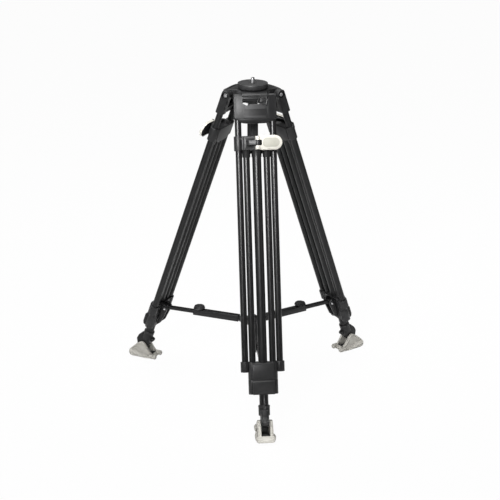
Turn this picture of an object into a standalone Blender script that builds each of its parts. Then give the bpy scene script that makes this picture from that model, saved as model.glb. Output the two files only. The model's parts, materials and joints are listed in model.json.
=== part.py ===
"""Heavy-duty twin-tube video tripod with a flat head plate, a mid-level spreader and hoof feet.

Metres, +Z up, floor at Z = 0. The front leg points along -Y. Each leg is modelled in its own
frame: X runs across the leg, -Y faces outward, and -Z runs down the leg from its hinge.
"""

import math

import bmesh
import bpy
from mathutils import Matrix, Vector

COLLECTION = "video_tripod"
CUTTERS = "cutters"

# The whole tripod
LEG_COUNT = 3
LEG_NAMES = ("front", "right", "left")
LEG_STEP = 2 * math.pi / LEG_COUNT
LEG_SPREAD = math.radians(19.9)
AXIS_Y = 0.08178
HINGE_RADIUS = 0.0515
HINGE_HEIGHT = 0.7781
GAP = 0.0003

# Head plate, crown and tie-down handle
PLATE_TOP = 0.8057
PLATE_RADIUS = 0.0375
PLATE_THICKNESS = 0.012
PLATE_NECK_RADIUS = 0.029
PLATE_NECK_DEPTH = 0.0075
SCREW_RADIUS = 0.0046
SCREW_LENGTH = 0.013
SCREW_COLLAR_RADIUS = 0.0075
CROWN_TOP = 0.7925
CROWN_BOTTOM = 0.756
CROWN_HUB_RADIUS = 0.038
CROWN_ARM_HALF = 0.032
HANDLE_RADIUS = 0.0135
HANDLE_TOP = 0.750
HANDLE_LENGTH = 0.098
HANDLE_STUD_RADIUS = 0.005

# Hinge bolts
BOLT_RADIUS = 0.004
BOLT_HEAD_RADIUS = 0.0055
BOLT_HEAD_DEPTH = 0.0015
HINGE_BARREL = 0.0098

# Tubes (s is the distance down the leg from its hinge)
OUTER_X = 0.0425
OUTER_RADIUS = 0.008
INNER_X = 0.02475
INNER_RADIUS = 0.008
INNER_N = 0.004
CENTRE_RADIUS = 0.011
CENTRE_N = 0.007
TUBE_WALL = 0.0015
TUBE_STEPS = 16
SMALL_STEPS = 12
PLATE_STEPS = 32

# Shoulder casting
SHOULDER_HALF = 0.050
SHOULDER_CHEEK_IN = 0.0335
SHOULDER_TOP = 0.011
SHOULDER_BOTTOM = 0.050
SHOULDER_BOW = 0.0115
SHOULDER_BACK = 0.0105
SHOULDER_WEB_IN = 0.0105
SHOULDER_WEB_OUT = 0.0145
SOCKET_TOP = 0.016
WINDOW_HALF = 0.0335
WINDOW_TOP = 0.007
WINDOW_BOTTOM = 0.0155

# Leg-angle tab
TAB_X = 0.0195
TAB_S = 0.0045
TAB_WIDTH = 0.022
TAB_HEIGHT = 0.019
TAB_THICKNESS = 0.0035

# Collar with the quick lever
COLLAR_TOP = 0.0915
COLLAR_BOTTOM = 0.1270
COLLAR_LOBE = 0.0112
COLLAR_BACK = 0.012
COLLAR_FRONT = 0.0205
SKIRT_BOTTOM = 0.1430
SKIRT_HALF = 0.0345
STRAP_HALF_HEIGHT = 0.0065
STRAP_LEFT = -0.024
LEVER_PIVOT_X = 0.0024
LEVER_PIVOT_N = 0.0275
LEVER_EYE_RADIUS = 0.0062
LEVER_REACH = 0.059
LEVER_HALF_HEIGHT = 0.0180
LEVER_THICKNESS = 0.0075
LEVER_PIN_RADIUS = 0.0025

# Lower casting, spreader bracket and end block
CASTING_TOP = 0.641
CASTING_BOTTOM = 0.684
EAR_BOTTOM = 0.666
EAR_RADIUS = 0.0113
EAR_FLOOR = 0.0025
BLOCK_HALF = 0.036
BLOCK_BACK = 0.009
BLOCK_FRONT = 0.020
END_FRONT = 0.0245
END_BOTTOM = 0.720
END_FLOOR = 0.004
BRACKET_IN = 0.0095
BRACKET_OUT = 0.0145
SPREADER_PIN_S = 0.652
SPREADER_PIN_N = -0.0185
SPREADER_PIN_RADIUS = 0.003
PIN_PROUD = 0.0008

# Ankle and foot
FERRULE_TOP = 0.7465
FERRULE_BOTTOM = 0.772
FERRULE_RADIUS = 0.0142
ANKLE_HALF = 0.0098
FOOT_PIVOT_S = 0.790
FOOT_PIVOT_N = 0.010
FOOT_PIN_RADIUS = 0.003
FOOT_HALF = 0.0255
FOOT_SLOT_HALF = 0.0108
PEG_X = 0.016
PEG_RADIUS = 0.0055

# Mid-level spreader
HUB_HEIGHT = 0.1665
HUB_RADIUS = 0.019
HUB_HALF_DEPTH = 0.008
ARM_PIVOT_RADIUS = 0.030
EYE_RADIUS = 0.0062
EYE_HALF = 0.006
LUG_OUT = 0.0105
CHANNEL_HALF = 0.0078
CHANNEL_HALF_DEPTH = 0.0085
CHANNEL_WALL = 0.002
CHANNEL_START = 0.0085
CHANNEL_END = 0.144
ROD_HALF = 0.0053
ROD_HALF_DEPTH = 0.0045
ROD_LENGTH = 0.112
KNOB_AT = 0.127
KNOB_RADIUS = 0.0152
KNOB_HEIGHT = 0.009
KNOB_SIDES = 8


def clear_scene():
    for obj in list(bpy.data.objects):
        bpy.data.objects.remove(obj, do_unlink=True)


def make_collection(name):
    collection = bpy.data.collections.new(name)
    bpy.context.scene.collection.children.link(collection)
    return collection


def make_material(name, colour, roughness, metallic=0.0):
    material = bpy.data.materials.new(name)
    material.use_nodes = True
    shader = material.node_tree.nodes["Principled BSDF"]
    shader.inputs["Base Color"].default_value = (*colour, 1.0)
    shader.inputs["Roughness"].default_value = roughness
    shader.inputs["Metallic"].default_value = metallic
    return material


def mesh_object(name, shape, collection):
    """A mesh object made from a bmesh, which is freed."""
    mesh = bpy.data.meshes.new(name)
    bmesh.ops.recalc_face_normals(shape, faces=shape.faces)
    shape.to_mesh(mesh)
    shape.free()
    obj = bpy.data.objects.new(name, mesh)
    collection.objects.link(obj)
    return obj


def block(low, high):
    """A box between two corners."""
    shape = bmesh.new()
    low, high = Vector(low), Vector(high)
    size = Matrix.Diagonal((high - low).to_4d())
    size[3][3] = 1.0
    bmesh.ops.create_cube(shape, size=1.0, matrix=Matrix.Translation((low + high) / 2) @ size)
    return shape


def rod_shape(start, end, radius, sides=TUBE_STEPS, end_radius=None):
    """A cylinder or cone from start to end."""
    shape = bmesh.new()
    start, end = Vector(start), Vector(end)
    along = end - start
    turn = Vector((0, 0, 1)).rotation_difference(along).to_matrix().to_4x4()
    place = Matrix.Translation((start + end) / 2) @ turn
    top = radius if end_radius is None else end_radius
    bmesh.ops.create_cone(shape, cap_ends=True, segments=sides, radius1=radius, radius2=top,
                          depth=along.length, matrix=place)
    return shape


def outline_plate(points, low_x, high_x):
    """A flat outline in (n, s), extruded across the leg from low_x to high_x.

    n is measured outward and s down the leg, so a point lands at (x, -n, -s).
    """
    curve = bpy.data.curves.new("outline", "CURVE")
    curve.dimensions = "2D"
    curve.fill_mode = "BOTH"
    curve.extrude = (high_x - low_x) / 2
    spline = curve.splines.new("POLY")
    spline.points.add(len(points) - 1)
    for point, (n, s) in zip(spline.points, points):
        point.co = (-n, -s, 0, 1)
    spline.use_cyclic_u = True
    source = bpy.data.objects.new("outline", curve)
    bpy.context.scene.collection.objects.link(source)
    bpy.context.view_layer.update()
    evaluated = source.evaluated_get(bpy.context.evaluated_depsgraph_get())
    mesh = bpy.data.meshes.new_from_object(evaluated)
    bpy.data.objects.remove(source)
    shape = bmesh.new()
    shape.from_mesh(mesh)
    bpy.data.meshes.remove(mesh)
    bmesh.ops.remove_doubles(shape, verts=shape.verts, dist=1e-6)
    # The curve's X, Y and Z become the leg's Y, Z and X.
    turn = Matrix(((0, 0, 1, 0), (1, 0, 0, 0), (0, 1, 0, 0), (0, 0, 0, 1)))
    shape.transform(Matrix.Translation(((low_x + high_x) / 2, 0, 0)) @ turn)
    return shape


def arc(centre, radius, start, end, steps):
    """Points of an arc, angles in degrees."""
    points = []
    for i in range(steps + 1):
        angle = math.radians(start + (end - start) * i / steps)
        points.append((centre[0] + radius * math.cos(angle), centre[1] + radius * math.sin(angle)))
    return points


def combine(target, shapes, operation, cutters):
    """Apply one Boolean for each shape to the target."""
    for index, shape in enumerate(shapes):
        tool = mesh_object(f"{target.name}_{operation.lower()}_{index}", shape, cutters)
        tool.hide_render = True
        tool.display_type = "WIRE"
        modifier = target.modifiers.new(operation.title(), "BOOLEAN")
        modifier.operation = operation
        modifier.solver = "EXACT"
        modifier.object = tool


def soften(target, width, segments=1, angle=40):
    bevel = target.modifiers.new("Bevel", "BEVEL")
    bevel.width = width
    bevel.segments = segments
    bevel.limit_method = "ANGLE"
    bevel.angle_limit = math.radians(angle)
    bevel.harden_normals = False


def bake(target, smooth_angle=35):
    """The evaluated mesh of an object, which is removed with its cutters."""
    bpy.context.view_layer.update()
    evaluated = target.evaluated_get(bpy.context.evaluated_depsgraph_get())
    mesh = bpy.data.meshes.new_from_object(evaluated)
    mesh.name = target.name
    tools = [m.object for m in target.modifiers if m.type == "BOOLEAN"]
    bpy.data.objects.remove(target, do_unlink=True)
    for tool in tools:
        bpy.data.objects.remove(tool, do_unlink=True)
    shape = bmesh.new()
    shape.from_mesh(mesh)
    bmesh.ops.remove_doubles(shape, verts=shape.verts, dist=1e-6)
    bmesh.ops.dissolve_degenerate(shape, dist=1e-6, edges=shape.edges)
    shape.to_mesh(mesh)
    shape.free()
    mesh.shade_smooth()
    mesh.set_sharp_from_angle(angle=math.radians(smooth_angle))
    return mesh


def solid(name, base, cutters, joins=(), cuts=(), bevel=0.0):
    """One baked mesh: a base with shapes joined, softened and cut."""
    target = mesh_object(name, base, cutters)
    combine(target, joins, "UNION", cutters)
    combine(target, cuts, "DIFFERENCE", cutters)
    if bevel:
        soften(target, bevel)
    return bake(target)


def tube_mesh(name, radius, top_s, bottom_s, cutters):
    """A hollow tube down the leg between two stations, turned about its own axis."""
    profile = bmesh.new()
    inner = radius - TUBE_WALL
    corners = [(radius, -top_s), (radius, -bottom_s), (inner, -bottom_s), (inner, -top_s)]
    verts = [profile.verts.new((x, 0, z)) for x, z in corners]
    for index, vert in enumerate(verts):
        profile.edges.new((vert, verts[(index + 1) % len(verts)]))
    mesh = bpy.data.meshes.new(name)
    profile.to_mesh(mesh)
    profile.free()
    target = bpy.data.objects.new(name, mesh)
    cutters.objects.link(target)
    screw = target.modifiers.new("Screw", "SCREW")
    screw.steps = TUBE_STEPS
    screw.render_steps = TUBE_STEPS
    screw.use_merge_vertices = True
    screw.merge_threshold = 0.00001
    return bake(target)


def turned_mesh(name, profile_points, steps, cutters):
    """A solid of revolution about Z; the profile runs from the top of the axis to its bottom."""
    profile = bmesh.new()
    verts = [profile.verts.new((radius, 0, z)) for radius, z in profile_points]
    for first, second in zip(verts, verts[1:]):
        profile.edges.new((first, second))
    mesh = bpy.data.meshes.new(name)
    profile.to_mesh(mesh)
    profile.free()
    target = bpy.data.objects.new(name, mesh)
    cutters.objects.link(target)
    screw = target.modifiers.new("Screw", "SCREW")
    screw.steps = steps
    screw.render_steps = steps
    screw.use_merge_vertices = True
    screw.merge_threshold = 0.00001
    return bake(target)


def across(s, n, radius, half, sides=TUBE_STEPS):
    """A cylinder across the leg at a station."""
    return rod_shape((-half, -n, -s), (half, -n, -s), radius, sides)


def down(x, n, top_s, bottom_s, radius, sides=TUBE_STEPS):
    """A cylinder down the leg between two stations."""
    return rod_shape((x, -n, -top_s), (x, -n, -bottom_s), radius, sides)


# Pieces of the crown -----------------------------------------------------------------------


def head_plate_mesh(cutters):
    rim = 0.0008
    under = PLATE_TOP - PLATE_THICKNESS
    neck = under - PLATE_NECK_DEPTH
    bore = SCREW_RADIUS + GAP
    counterbore = SCREW_COLLAR_RADIUS + GAP
    step = neck + 0.004
    profile = [
        (bore, PLATE_TOP), (PLATE_RADIUS - rim, PLATE_TOP), (PLATE_RADIUS, PLATE_TOP - rim),
        (PLATE_RADIUS, under + rim), (PLATE_RADIUS - rim, under),
        (PLATE_NECK_RADIUS + 0.004, under - 0.0012), (PLATE_NECK_RADIUS, neck),
        (counterbore, neck), (counterbore, step), (bore, step), (bore, PLATE_TOP),
    ]
    return turned_mesh("head_plate", profile, PLATE_STEPS, cutters)


def head_screw_mesh(cutters):
    foot = PLATE_TOP - PLATE_THICKNESS - PLATE_NECK_DEPTH + 0.0003
    shoulder = foot + 0.0033
    tip = PLATE_TOP + SCREW_LENGTH
    profile = [
        (0, tip), (SCREW_RADIUS - 0.0008, tip), (SCREW_RADIUS, tip - 0.0008),
        (SCREW_RADIUS, shoulder), (SCREW_COLLAR_RADIUS, shoulder),
        (SCREW_COLLAR_RADIUS, foot), (0, foot),
    ]
    return turned_mesh("head_screw", profile, 12, cutters)


def crown_mesh(cutters):
    """A hub with three wide arms that end in the legs' hinge barrels."""
    seat = PLATE_TOP - PLATE_THICKNESS - PLATE_NECK_DEPTH - GAP
    hub = rod_shape((0, 0, CROWN_BOTTOM), (0, 0, CROWN_TOP), CROWN_HUB_RADIUS, PLATE_STEPS)
    arms = []
    bores = []
    root = 0.012
    barrel = arc((HINGE_RADIUS, -HINGE_HEIGHT), HINGE_BARREL, -90, 90, 8)
    outline = [(root, -HINGE_HEIGHT - HINGE_BARREL + 0.0003)] + barrel
    outline.append((root, -HINGE_HEIGHT + HINGE_BARREL - 0.0003))
    for index in range(LEG_COUNT):
        turn = Matrix.Rotation(index * LEG_STEP, 4, "Z")
        arm = outline_plate(outline, -CROWN_ARM_HALF, CROWN_ARM_HALF)
        bore = rod_shape((-SHOULDER_HALF, -HINGE_RADIUS, HINGE_HEIGHT),
                         (SHOULDER_HALF, -HINGE_RADIUS, HINGE_HEIGHT), BOLT_RADIUS + GAP, SMALL_STEPS)
        for shape in (arm, bore):
            shape.transform(turn)
        arms.append(arm)
        bores.append(bore)
    seat_cut = rod_shape((0, 0, seat), (0, 0, CROWN_TOP + 0.01), PLATE_NECK_RADIUS + 0.0045, PLATE_STEPS)
    bowl = rod_shape((0, 0, CROWN_BOTTOM - 0.01), (0, 0, HANDLE_TOP + 0.016), 0.030, 24)
    stud = rod_shape((0, 0, CROWN_BOTTOM - 0.01), (0, 0, seat + 0.01),
                     HANDLE_STUD_RADIUS + GAP, SMALL_STEPS)
    return solid("crown", hub, cutters, joins=arms, cuts=[seat_cut, bowl, stud] + bores)


def tie_down_mesh(cutters):
    """The knob under the crown that clamps the head plate, with its stud."""
    top = HANDLE_TOP
    stud_top = PLATE_TOP - PLATE_THICKNESS - PLATE_NECK_DEPTH - 2 * GAP
    low = top - HANDLE_LENGTH
    profile = [
        (0, stud_top), (HANDLE_STUD_RADIUS, stud_top), (HANDLE_STUD_RADIUS, top + 0.006),
        (0.011, top + 0.006), (0.011, top), (HANDLE_RADIUS, top - 0.003),
        (HANDLE_RADIUS, low + 0.005), (HANDLE_RADIUS - 0.003, low), (0, low),
    ]
    return turned_mesh("tie_down_handle", profile, 16, cutters)


# Pieces of a leg ---------------------------------------------------------------------------


def hinge_bolt_mesh(cutters):
    half = SHOULDER_HALF + GAP
    shank = across(0, 0, BOLT_RADIUS, half + BOLT_HEAD_DEPTH / 2, SMALL_STEPS)
    heads = [rod_shape((side * half, 0, 0), (side * (half + BOLT_HEAD_DEPTH), 0, 0),
                       BOLT_HEAD_RADIUS, SMALL_STEPS) for side in (-1, 1)]
    return solid("hinge_bolt", shank, cutters, joins=heads)


def shoulder_mesh(cutters):
    """Two tube sockets with hinge ears, joined by a bowed front web."""
    sockets = []
    for side in (-1, 1):
        low, high = sorted((side * SHOULDER_CHEEK_IN, side * SHOULDER_HALF))
        ear = arc((0, 0), HINGE_BARREL + 0.0008, 180, 270, 5)
        profile = ear + [(SHOULDER_WEB_OUT, -SHOULDER_TOP), (SHOULDER_WEB_OUT, SHOULDER_BOTTOM),
                         (-SHOULDER_BACK, SHOULDER_BOTTOM)]
        sockets.append(outline_plate(profile, low, high))
    web = block((-SHOULDER_HALF + 0.001, -SHOULDER_WEB_OUT, -SHOULDER_BOTTOM),
                (SHOULDER_HALF - 0.001, -SHOULDER_WEB_IN, SHOULDER_TOP))
    belly_radius = (SHOULDER_CHEEK_IN ** 2 + SHOULDER_BOW ** 2) / (2 * SHOULDER_BOW)
    belly_s = SHOULDER_BOTTOM + SHOULDER_BOW - belly_radius
    belly = rod_shape((0, -SHOULDER_WEB_OUT, -belly_s), (0, -SHOULDER_WEB_IN, -belly_s),
                      belly_radius, 40)
    belly_keep = block((-SHOULDER_HALF * 2, -SHOULDER_WEB_OUT - 0.01, -SHOULDER_BOTTOM + 0.001),
                       (SHOULDER_HALF * 2, -SHOULDER_WEB_IN + 0.01, belly_radius))
    bow = mesh_object("bow", belly, cutters)
    combine(bow, [belly_keep], "DIFFERENCE", cutters)
    bow_mesh = bake(bow)
    bow_shape = bmesh.new()
    bow_shape.from_mesh(bow_mesh)
    rib = block((-SHOULDER_CHEEK_IN - 0.002, -SHOULDER_WEB_IN - 0.002, -SHOULDER_BOTTOM),
                (SHOULDER_CHEEK_IN + 0.002, 0.004, -SHOULDER_BOTTOM + 0.005))
    window = block((-WINDOW_HALF, -SHOULDER_WEB_OUT - 0.01, -WINDOW_BOTTOM),
                   (WINDOW_HALF, 0, WINDOW_TOP))
    panel = block((-0.027, -SHOULDER_WEB_OUT - 0.01, -0.0465),
                  (0.0265, -SHOULDER_WEB_OUT + 0.0008, -0.0295))
    holes = [down(side * OUTER_X, 0, SOCKET_TOP, SHOULDER_BOTTOM + 0.02, OUTER_RADIUS + GAP)
             for side in (-1, 1)]
    pin = across(0, 0, BOLT_RADIUS + GAP, SHOULDER_HALF + 0.01, SMALL_STEPS)
    return solid("shoulder", web, cutters, joins=sockets + [bow_shape, rib],
                 cuts=[window, panel, pin] + holes)


def angle_tab_mesh(cutters):
    """The leg-angle lock's thumb plate, in the window of the shoulder."""
    front = SHOULDER_WEB_OUT + 0.0012
    half_w, half_h = TAB_WIDTH / 2, TAB_HEIGHT / 2
    plate = block((TAB_X - half_w, -front, -TAB_S - half_h),
                  (TAB_X + half_w, -front + TAB_THICKNESS, -TAB_S + half_h))
    trim = block((-0.02, -0.02, -0.02), (0.0, 0.02, 0.02))
    trim.transform(Matrix.Translation((TAB_X - half_w + 0.005, -front, -TAB_S - 0.003))
                   @ Matrix.Rotation(math.radians(-28), 4, "Y"))
    return solid("angle_tab", plate, cutters, cuts=[trim], bevel=0.0008)


def collar_mesh(cutters):
    """The clamp collar: lobes round the outer tubes and a body round the inner ones."""
    body = block((-OUTER_X, -COLLAR_FRONT + 0.004, -COLLAR_BOTTOM),
                 (OUTER_X, COLLAR_BACK, -COLLAR_TOP))
    lobes = [down(side * OUTER_X, 0, COLLAR_TOP, COLLAR_BOTTOM, COLLAR_LOBE)
             for side in (-1, 1)]
    skirt = block((-SKIRT_HALF, -COLLAR_FRONT + 0.006, -SKIRT_BOTTOM),
                  (SKIRT_HALF, COLLAR_BACK - 0.003, -COLLAR_BOTTOM + 0.002))
    middle = (COLLAR_TOP + COLLAR_BOTTOM) / 2
    front = block((-0.030, -COLLAR_FRONT, -COLLAR_BOTTOM + 0.001),
                  (0.028, -COLLAR_FRONT + 0.006, -COLLAR_TOP - 0.001))
    strap = block((STRAP_LEFT, -LEVER_PIVOT_N - 0.002, -middle - STRAP_HALF_HEIGHT),
                  (LEVER_PIVOT_X, -COLLAR_FRONT + 0.002, -middle + STRAP_HALF_HEIGHT))
    eye = down(LEVER_PIVOT_X, LEVER_PIVOT_N, middle - STRAP_HALF_HEIGHT,
               middle + STRAP_HALF_HEIGHT, LEVER_EYE_RADIUS)
    post = block((LEVER_PIVOT_X - 0.004, -LEVER_PIVOT_N, -middle - STRAP_HALF_HEIGHT),
                 (LEVER_PIVOT_X + 0.004, -COLLAR_FRONT + 0.002, -middle + STRAP_HALF_HEIGHT))
    bores = [down(side * OUTER_X, 0, 0, 0.2, OUTER_RADIUS + GAP) for side in (-1, 1)]
    bores += [down(side * INNER_X, INNER_N, COLLAR_TOP + 0.004, 0.2, INNER_RADIUS + GAP)
              for side in (-1, 1)]
    bores.append(down(0, CENTRE_N, 0, 0.2, CENTRE_RADIUS + GAP))
    bores.append(down(LEVER_PIVOT_X, LEVER_PIVOT_N, 0, 0.2, LEVER_PIN_RADIUS + GAP, SMALL_STEPS))
    arches = []
    for side in (-1, 1):
        x = side * (INNER_X + CENTRE_RADIUS - INNER_RADIUS) / 2
        arches.append(block((x - 0.0024, -0.03, -0.2), (x + 0.0024, 0.03, -COLLAR_BOTTOM - 0.003)))
    return solid("collar", body, cutters, joins=lobes + [skirt, front, strap, eye, post],
                 cuts=bores + arches)


def lever_mesh(cutters):
    """The quick lever, with its pivot at the origin; it closes along +X across the leg."""
    steps = 8
    bow = 0.0045
    sheet = bmesh.new()
    rows = []
    for i in range(steps + 1):
        t = i / steps
        x = LEVER_EYE_RADIUS * 0.6 + (LEVER_REACH - LEVER_EYE_RADIUS * 0.6) * t
        y = -LEVER_EYE_RADIUS + LEVER_THICKNESS / 2 + bow * (1 - t) * t * 4 * -1
        end = max(0.0, (x - (LEVER_REACH - LEVER_HALF_HEIGHT)) / LEVER_HALF_HEIGHT)
        half = LEVER_HALF_HEIGHT * math.sqrt(max(0.09, 1 - end ** 2))
        rows.append([sheet.verts.new((x, y, sign * half)) for sign in (-1, 0, 1)])
    for first, second in zip(rows, rows[1:]):
        for j in range(2):
            sheet.faces.new((first[j], first[j + 1], second[j + 1], second[j]))
    target = mesh_object("lever", sheet, cutters)
    thick = target.modifiers.new("Solidify", "SOLIDIFY")
    thick.thickness = LEVER_THICKNESS
    thick.offset = 0.0
    eye = rod_shape((0, 0, -LEVER_HALF_HEIGHT), (0, 0, LEVER_HALF_HEIGHT), LEVER_EYE_RADIUS)
    slot_half = STRAP_HALF_HEIGHT + GAP
    slot = block((-0.03, -0.03, -slot_half), (LEVER_EYE_RADIUS + 0.0016, 0.03, slot_half))
    pin = rod_shape((0, 0, -0.05), (0, 0, 0.05), LEVER_PIN_RADIUS + GAP, SMALL_STEPS)
    combine(target, [eye], "UNION", cutters)
    combine(target, [slot, pin], "DIFFERENCE", cutters)
    return bake(target)


def lever_pin_mesh(cutters):
    shank = rod_shape((0, 0, -LEVER_HALF_HEIGHT), (0, 0, LEVER_HALF_HEIGHT), LEVER_PIN_RADIUS, SMALL_STEPS)
    return solid("lever_pin", shank, cutters)


def lower_casting_mesh(cutters):
    """The end of the upper stage: ears on the outer tubes, guide bores, spreader bracket."""
    ramp = 0.006
    body = outline_plate([(-BLOCK_BACK, CASTING_TOP), (BLOCK_FRONT - ramp, CASTING_TOP),
                          (BLOCK_FRONT, CASTING_TOP + ramp), (BLOCK_FRONT, CASTING_BOTTOM),
                          (-BLOCK_BACK, CASTING_BOTTOM)], -BLOCK_HALF, BLOCK_HALF)
    ears = [down(side * OUTER_X, 0, CASTING_TOP, EAR_BOTTOM, EAR_RADIUS) for side in (-1, 1)]
    root = -BLOCK_BACK + 0.002
    hang = -BLOCK_BACK - 0.0006
    bracket = [(root, CASTING_TOP + 0.001), (SPREADER_PIN_N + 0.001, CASTING_TOP + 0.001),
               (SPREADER_PIN_N - 0.006, CASTING_TOP + 0.006), (SPREADER_PIN_N - 0.0068, 0.656),
               (SPREADER_PIN_N - 0.001, 0.699), (hang, 0.712), (hang, CASTING_BOTTOM),
               (root, CASTING_BOTTOM - 0.001)]
    cheeks = [outline_plate(bracket, *sorted((side * BRACKET_IN, side * BRACKET_OUT)))
              for side in (-1, 1)]
    pin = across(SPREADER_PIN_S, SPREADER_PIN_N, SPREADER_PIN_RADIUS, BRACKET_OUT + PIN_PROUD, SMALL_STEPS)
    cuts = []
    for side in (-1, 1):
        cuts.append(down(side * OUTER_X, 0, 0.6, EAR_BOTTOM - EAR_FLOOR, OUTER_RADIUS + GAP))
        cuts.append(down(side * INNER_X, INNER_N, 0.6, 0.8, INNER_RADIUS + GAP))
    cuts.append(down(0, CENTRE_N, 0.6, 0.8, CENTRE_RADIUS + GAP))
    return solid("lower_casting", body, cutters, joins=ears + cheeks + [pin], cuts=cuts)


def end_block_mesh(cutters):
    """The end of the middle stage, nested under the lower casting."""
    top = CASTING_BOTTOM + 2 * GAP
    ramp = 0.0035
    body = outline_plate([(-BLOCK_BACK, top), (BLOCK_FRONT, top), (END_FRONT, top + ramp),
                          (END_FRONT, END_BOTTOM - ramp), (END_FRONT - ramp, END_BOTTOM),
                          (-BLOCK_BACK, END_BOTTOM)], -BLOCK_HALF, BLOCK_HALF)
    cuts = [down(side * INNER_X, INNER_N, 0.6, END_BOTTOM - END_FLOOR, INNER_RADIUS + GAP)
            for side in (-1, 1)]
    cuts.append(down(0, CENTRE_N, 0.6, 0.8, CENTRE_RADIUS + GAP))
    corners = []
    for side in (-1, 1):
        corner = block((-0.01, -0.05, -0.0035), (0.01, 0.05, 0.0035))
        place = Matrix.Translation((side * BLOCK_HALF, 0, -END_BOTTOM))
        corner.transform(place @ Matrix.Rotation(side * math.radians(-45), 4, "Y"))
        corners.append(corner)
    return solid("end_block", body, cutters, cuts=cuts + corners)


def ankle_mesh(cutters):
    """The ferrule on the centre tube, the tongue in the foot and its stop fin."""
    ferrule = down(0, CENTRE_N, FERRULE_TOP, FERRULE_BOTTOM, FERRULE_RADIUS)
    tongue = [(-0.006, 0.766), (0.013, 0.752), (0.021, 0.7575), (0.032, 0.777), (0.0325, 0.784),
              (0.028, 0.795), (0.020, 0.7995), (0.009, 0.7995), (-0.001, 0.795), (-0.0065, 0.784)]
    fin = outline_plate(tongue, -ANKLE_HALF, ANKLE_HALF)
    trunnion = across(FOOT_PIVOT_S, FOOT_PIVOT_N, FOOT_PIN_RADIUS, FOOT_HALF - 0.0005, SMALL_STEPS)
    bumper = across(0.7665, -0.012, 0.0045, 0.006, 12)
    stalk = outline_plate([(-0.012, 0.763), (0.0, 0.761), (0.0, 0.770), (-0.012, 0.770)],
                          -0.0055, 0.0055)
    socket = down(0, CENTRE_N, FERRULE_TOP - 0.01, FERRULE_BOTTOM - 0.006,
                  CENTRE_RADIUS + GAP)
    return solid("ankle", ferrule, cutters, joins=[fin, stalk, bumper, trunnion], cuts=[socket])


def foot_mesh(cutters):
    """The hoof: two cheeks on a sole. Origin at its pivot, -Y outward and +Z up."""
    floor = -foot_pivot_height()
    side_view = [(-0.033, floor), (0.031, floor), (0.0385, floor + 0.004), (0.0415, floor + 0.011),
                 (0.0390, floor + 0.018), (0.019, -0.0026), (0.006, 0.0110), (-0.001, 0.0130),
                 (-0.008, 0.0090), (-0.0255, -0.018), (-0.038, floor + 0.009),
                 (-0.040, floor + 0.004)]
    flipped = [(n, -z) for n, z in side_view]
    hoof = outline_plate(flipped, -FOOT_HALF, FOOT_HALF)
    pegs = [rod_shape((side * PEG_X, 0.025, floor + 0.0085), (side * PEG_X, 0.0465, floor + 0.008),
                      PEG_RADIUS, SMALL_STEPS) for side in (-1, 1)]
    slot = block((-FOOT_SLOT_HALF, -0.06, floor + 0.013), (FOOT_SLOT_HALF, 0.06, 0.03))
    toe_floor = floor + 0.005
    slope = outline_plate([(-0.05, -(floor + 0.013)), (-0.015, -toe_floor), (0.0, -toe_floor),
                           (0.02, -(floor + 0.012)), (0.02, -0.02), (-0.05, -0.02)],
                          -FOOT_SLOT_HALF, FOOT_SLOT_HALF)
    shoulders = []
    for side in (-1, 1):
        shave = block((0, -0.08, -0.08), (0.03, 0.08, 0.08))
        place = Matrix.Translation((side * (FOOT_HALF - 0.0045), 0, 0.013))
        tilt = Matrix.Rotation(side * math.radians(-9), 4, "Y")
        mirror = Matrix.Diagonal((side, 1, 1, 1))
        shave.transform(place @ tilt @ mirror)
        shoulders.append(shave)
    pin = rod_shape((-0.05, 0, 0), (0.05, 0, 0), FOOT_PIN_RADIUS + GAP, SMALL_STEPS)
    return solid("foot", hoof, cutters, joins=pegs, cuts=[slot, slope, pin] + shoulders)


def foot_pivot_height():
    """Height of the foot's pivot above the floor."""
    return (HINGE_HEIGHT - FOOT_PIVOT_S * math.cos(LEG_SPREAD)
            + FOOT_PIVOT_N * math.sin(LEG_SPREAD))


# Pieces of the spreader --------------------------------------------------------------------


def hub_fork_mesh(cutters):
    """One fork of the hub with its cross pin, pointing along -Y."""
    root = 0.008
    gap_start = 0.0215
    profile = arc((ARM_PIVOT_RADIUS, 0), EYE_RADIUS, -90, 90, 6)
    outline = [(root, -EYE_RADIUS)] + profile + [(root, EYE_RADIUS)]
    fork = outline_plate(outline, -LUG_OUT, LUG_OUT)
    gap = block((-EYE_HALF - GAP, -0.05, -0.02), (EYE_HALF + GAP, -gap_start, 0.02))
    pin = rod_shape((-LUG_OUT + 0.002, -ARM_PIVOT_RADIUS, 0), (LUG_OUT - 0.002, -ARM_PIVOT_RADIUS, 0),
                    SPREADER_PIN_RADIUS, SMALL_STEPS)
    target = mesh_object("fork", fork, cutters)
    combine(target, [gap], "DIFFERENCE", cutters)
    combine(target, [pin], "UNION", cutters)
    return bake(target)


def spreader_hub_mesh(cutters):
    """The centre of the spreader, with a fork for each arm. Origin on the tripod's axis."""
    hub = rod_shape((0, 0, -HUB_HALF_DEPTH), (0, 0, HUB_HALF_DEPTH), HUB_RADIUS, 24)
    cap = rod_shape((0, 0, HUB_HALF_DEPTH - 0.001), (0, 0, HUB_HALF_DEPTH + 0.008), 0.011, SMALL_STEPS)
    joins = [cap]
    fork_mesh = hub_fork_mesh(cutters)
    for index in range(LEG_COUNT):
        fork = bmesh.new()
        fork.from_mesh(fork_mesh)
        fork.transform(Matrix.Rotation(index * LEG_STEP, 4, "Z"))
        joins.append(fork)
    return solid("spreader_hub", hub, cutters, joins=joins)


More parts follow.
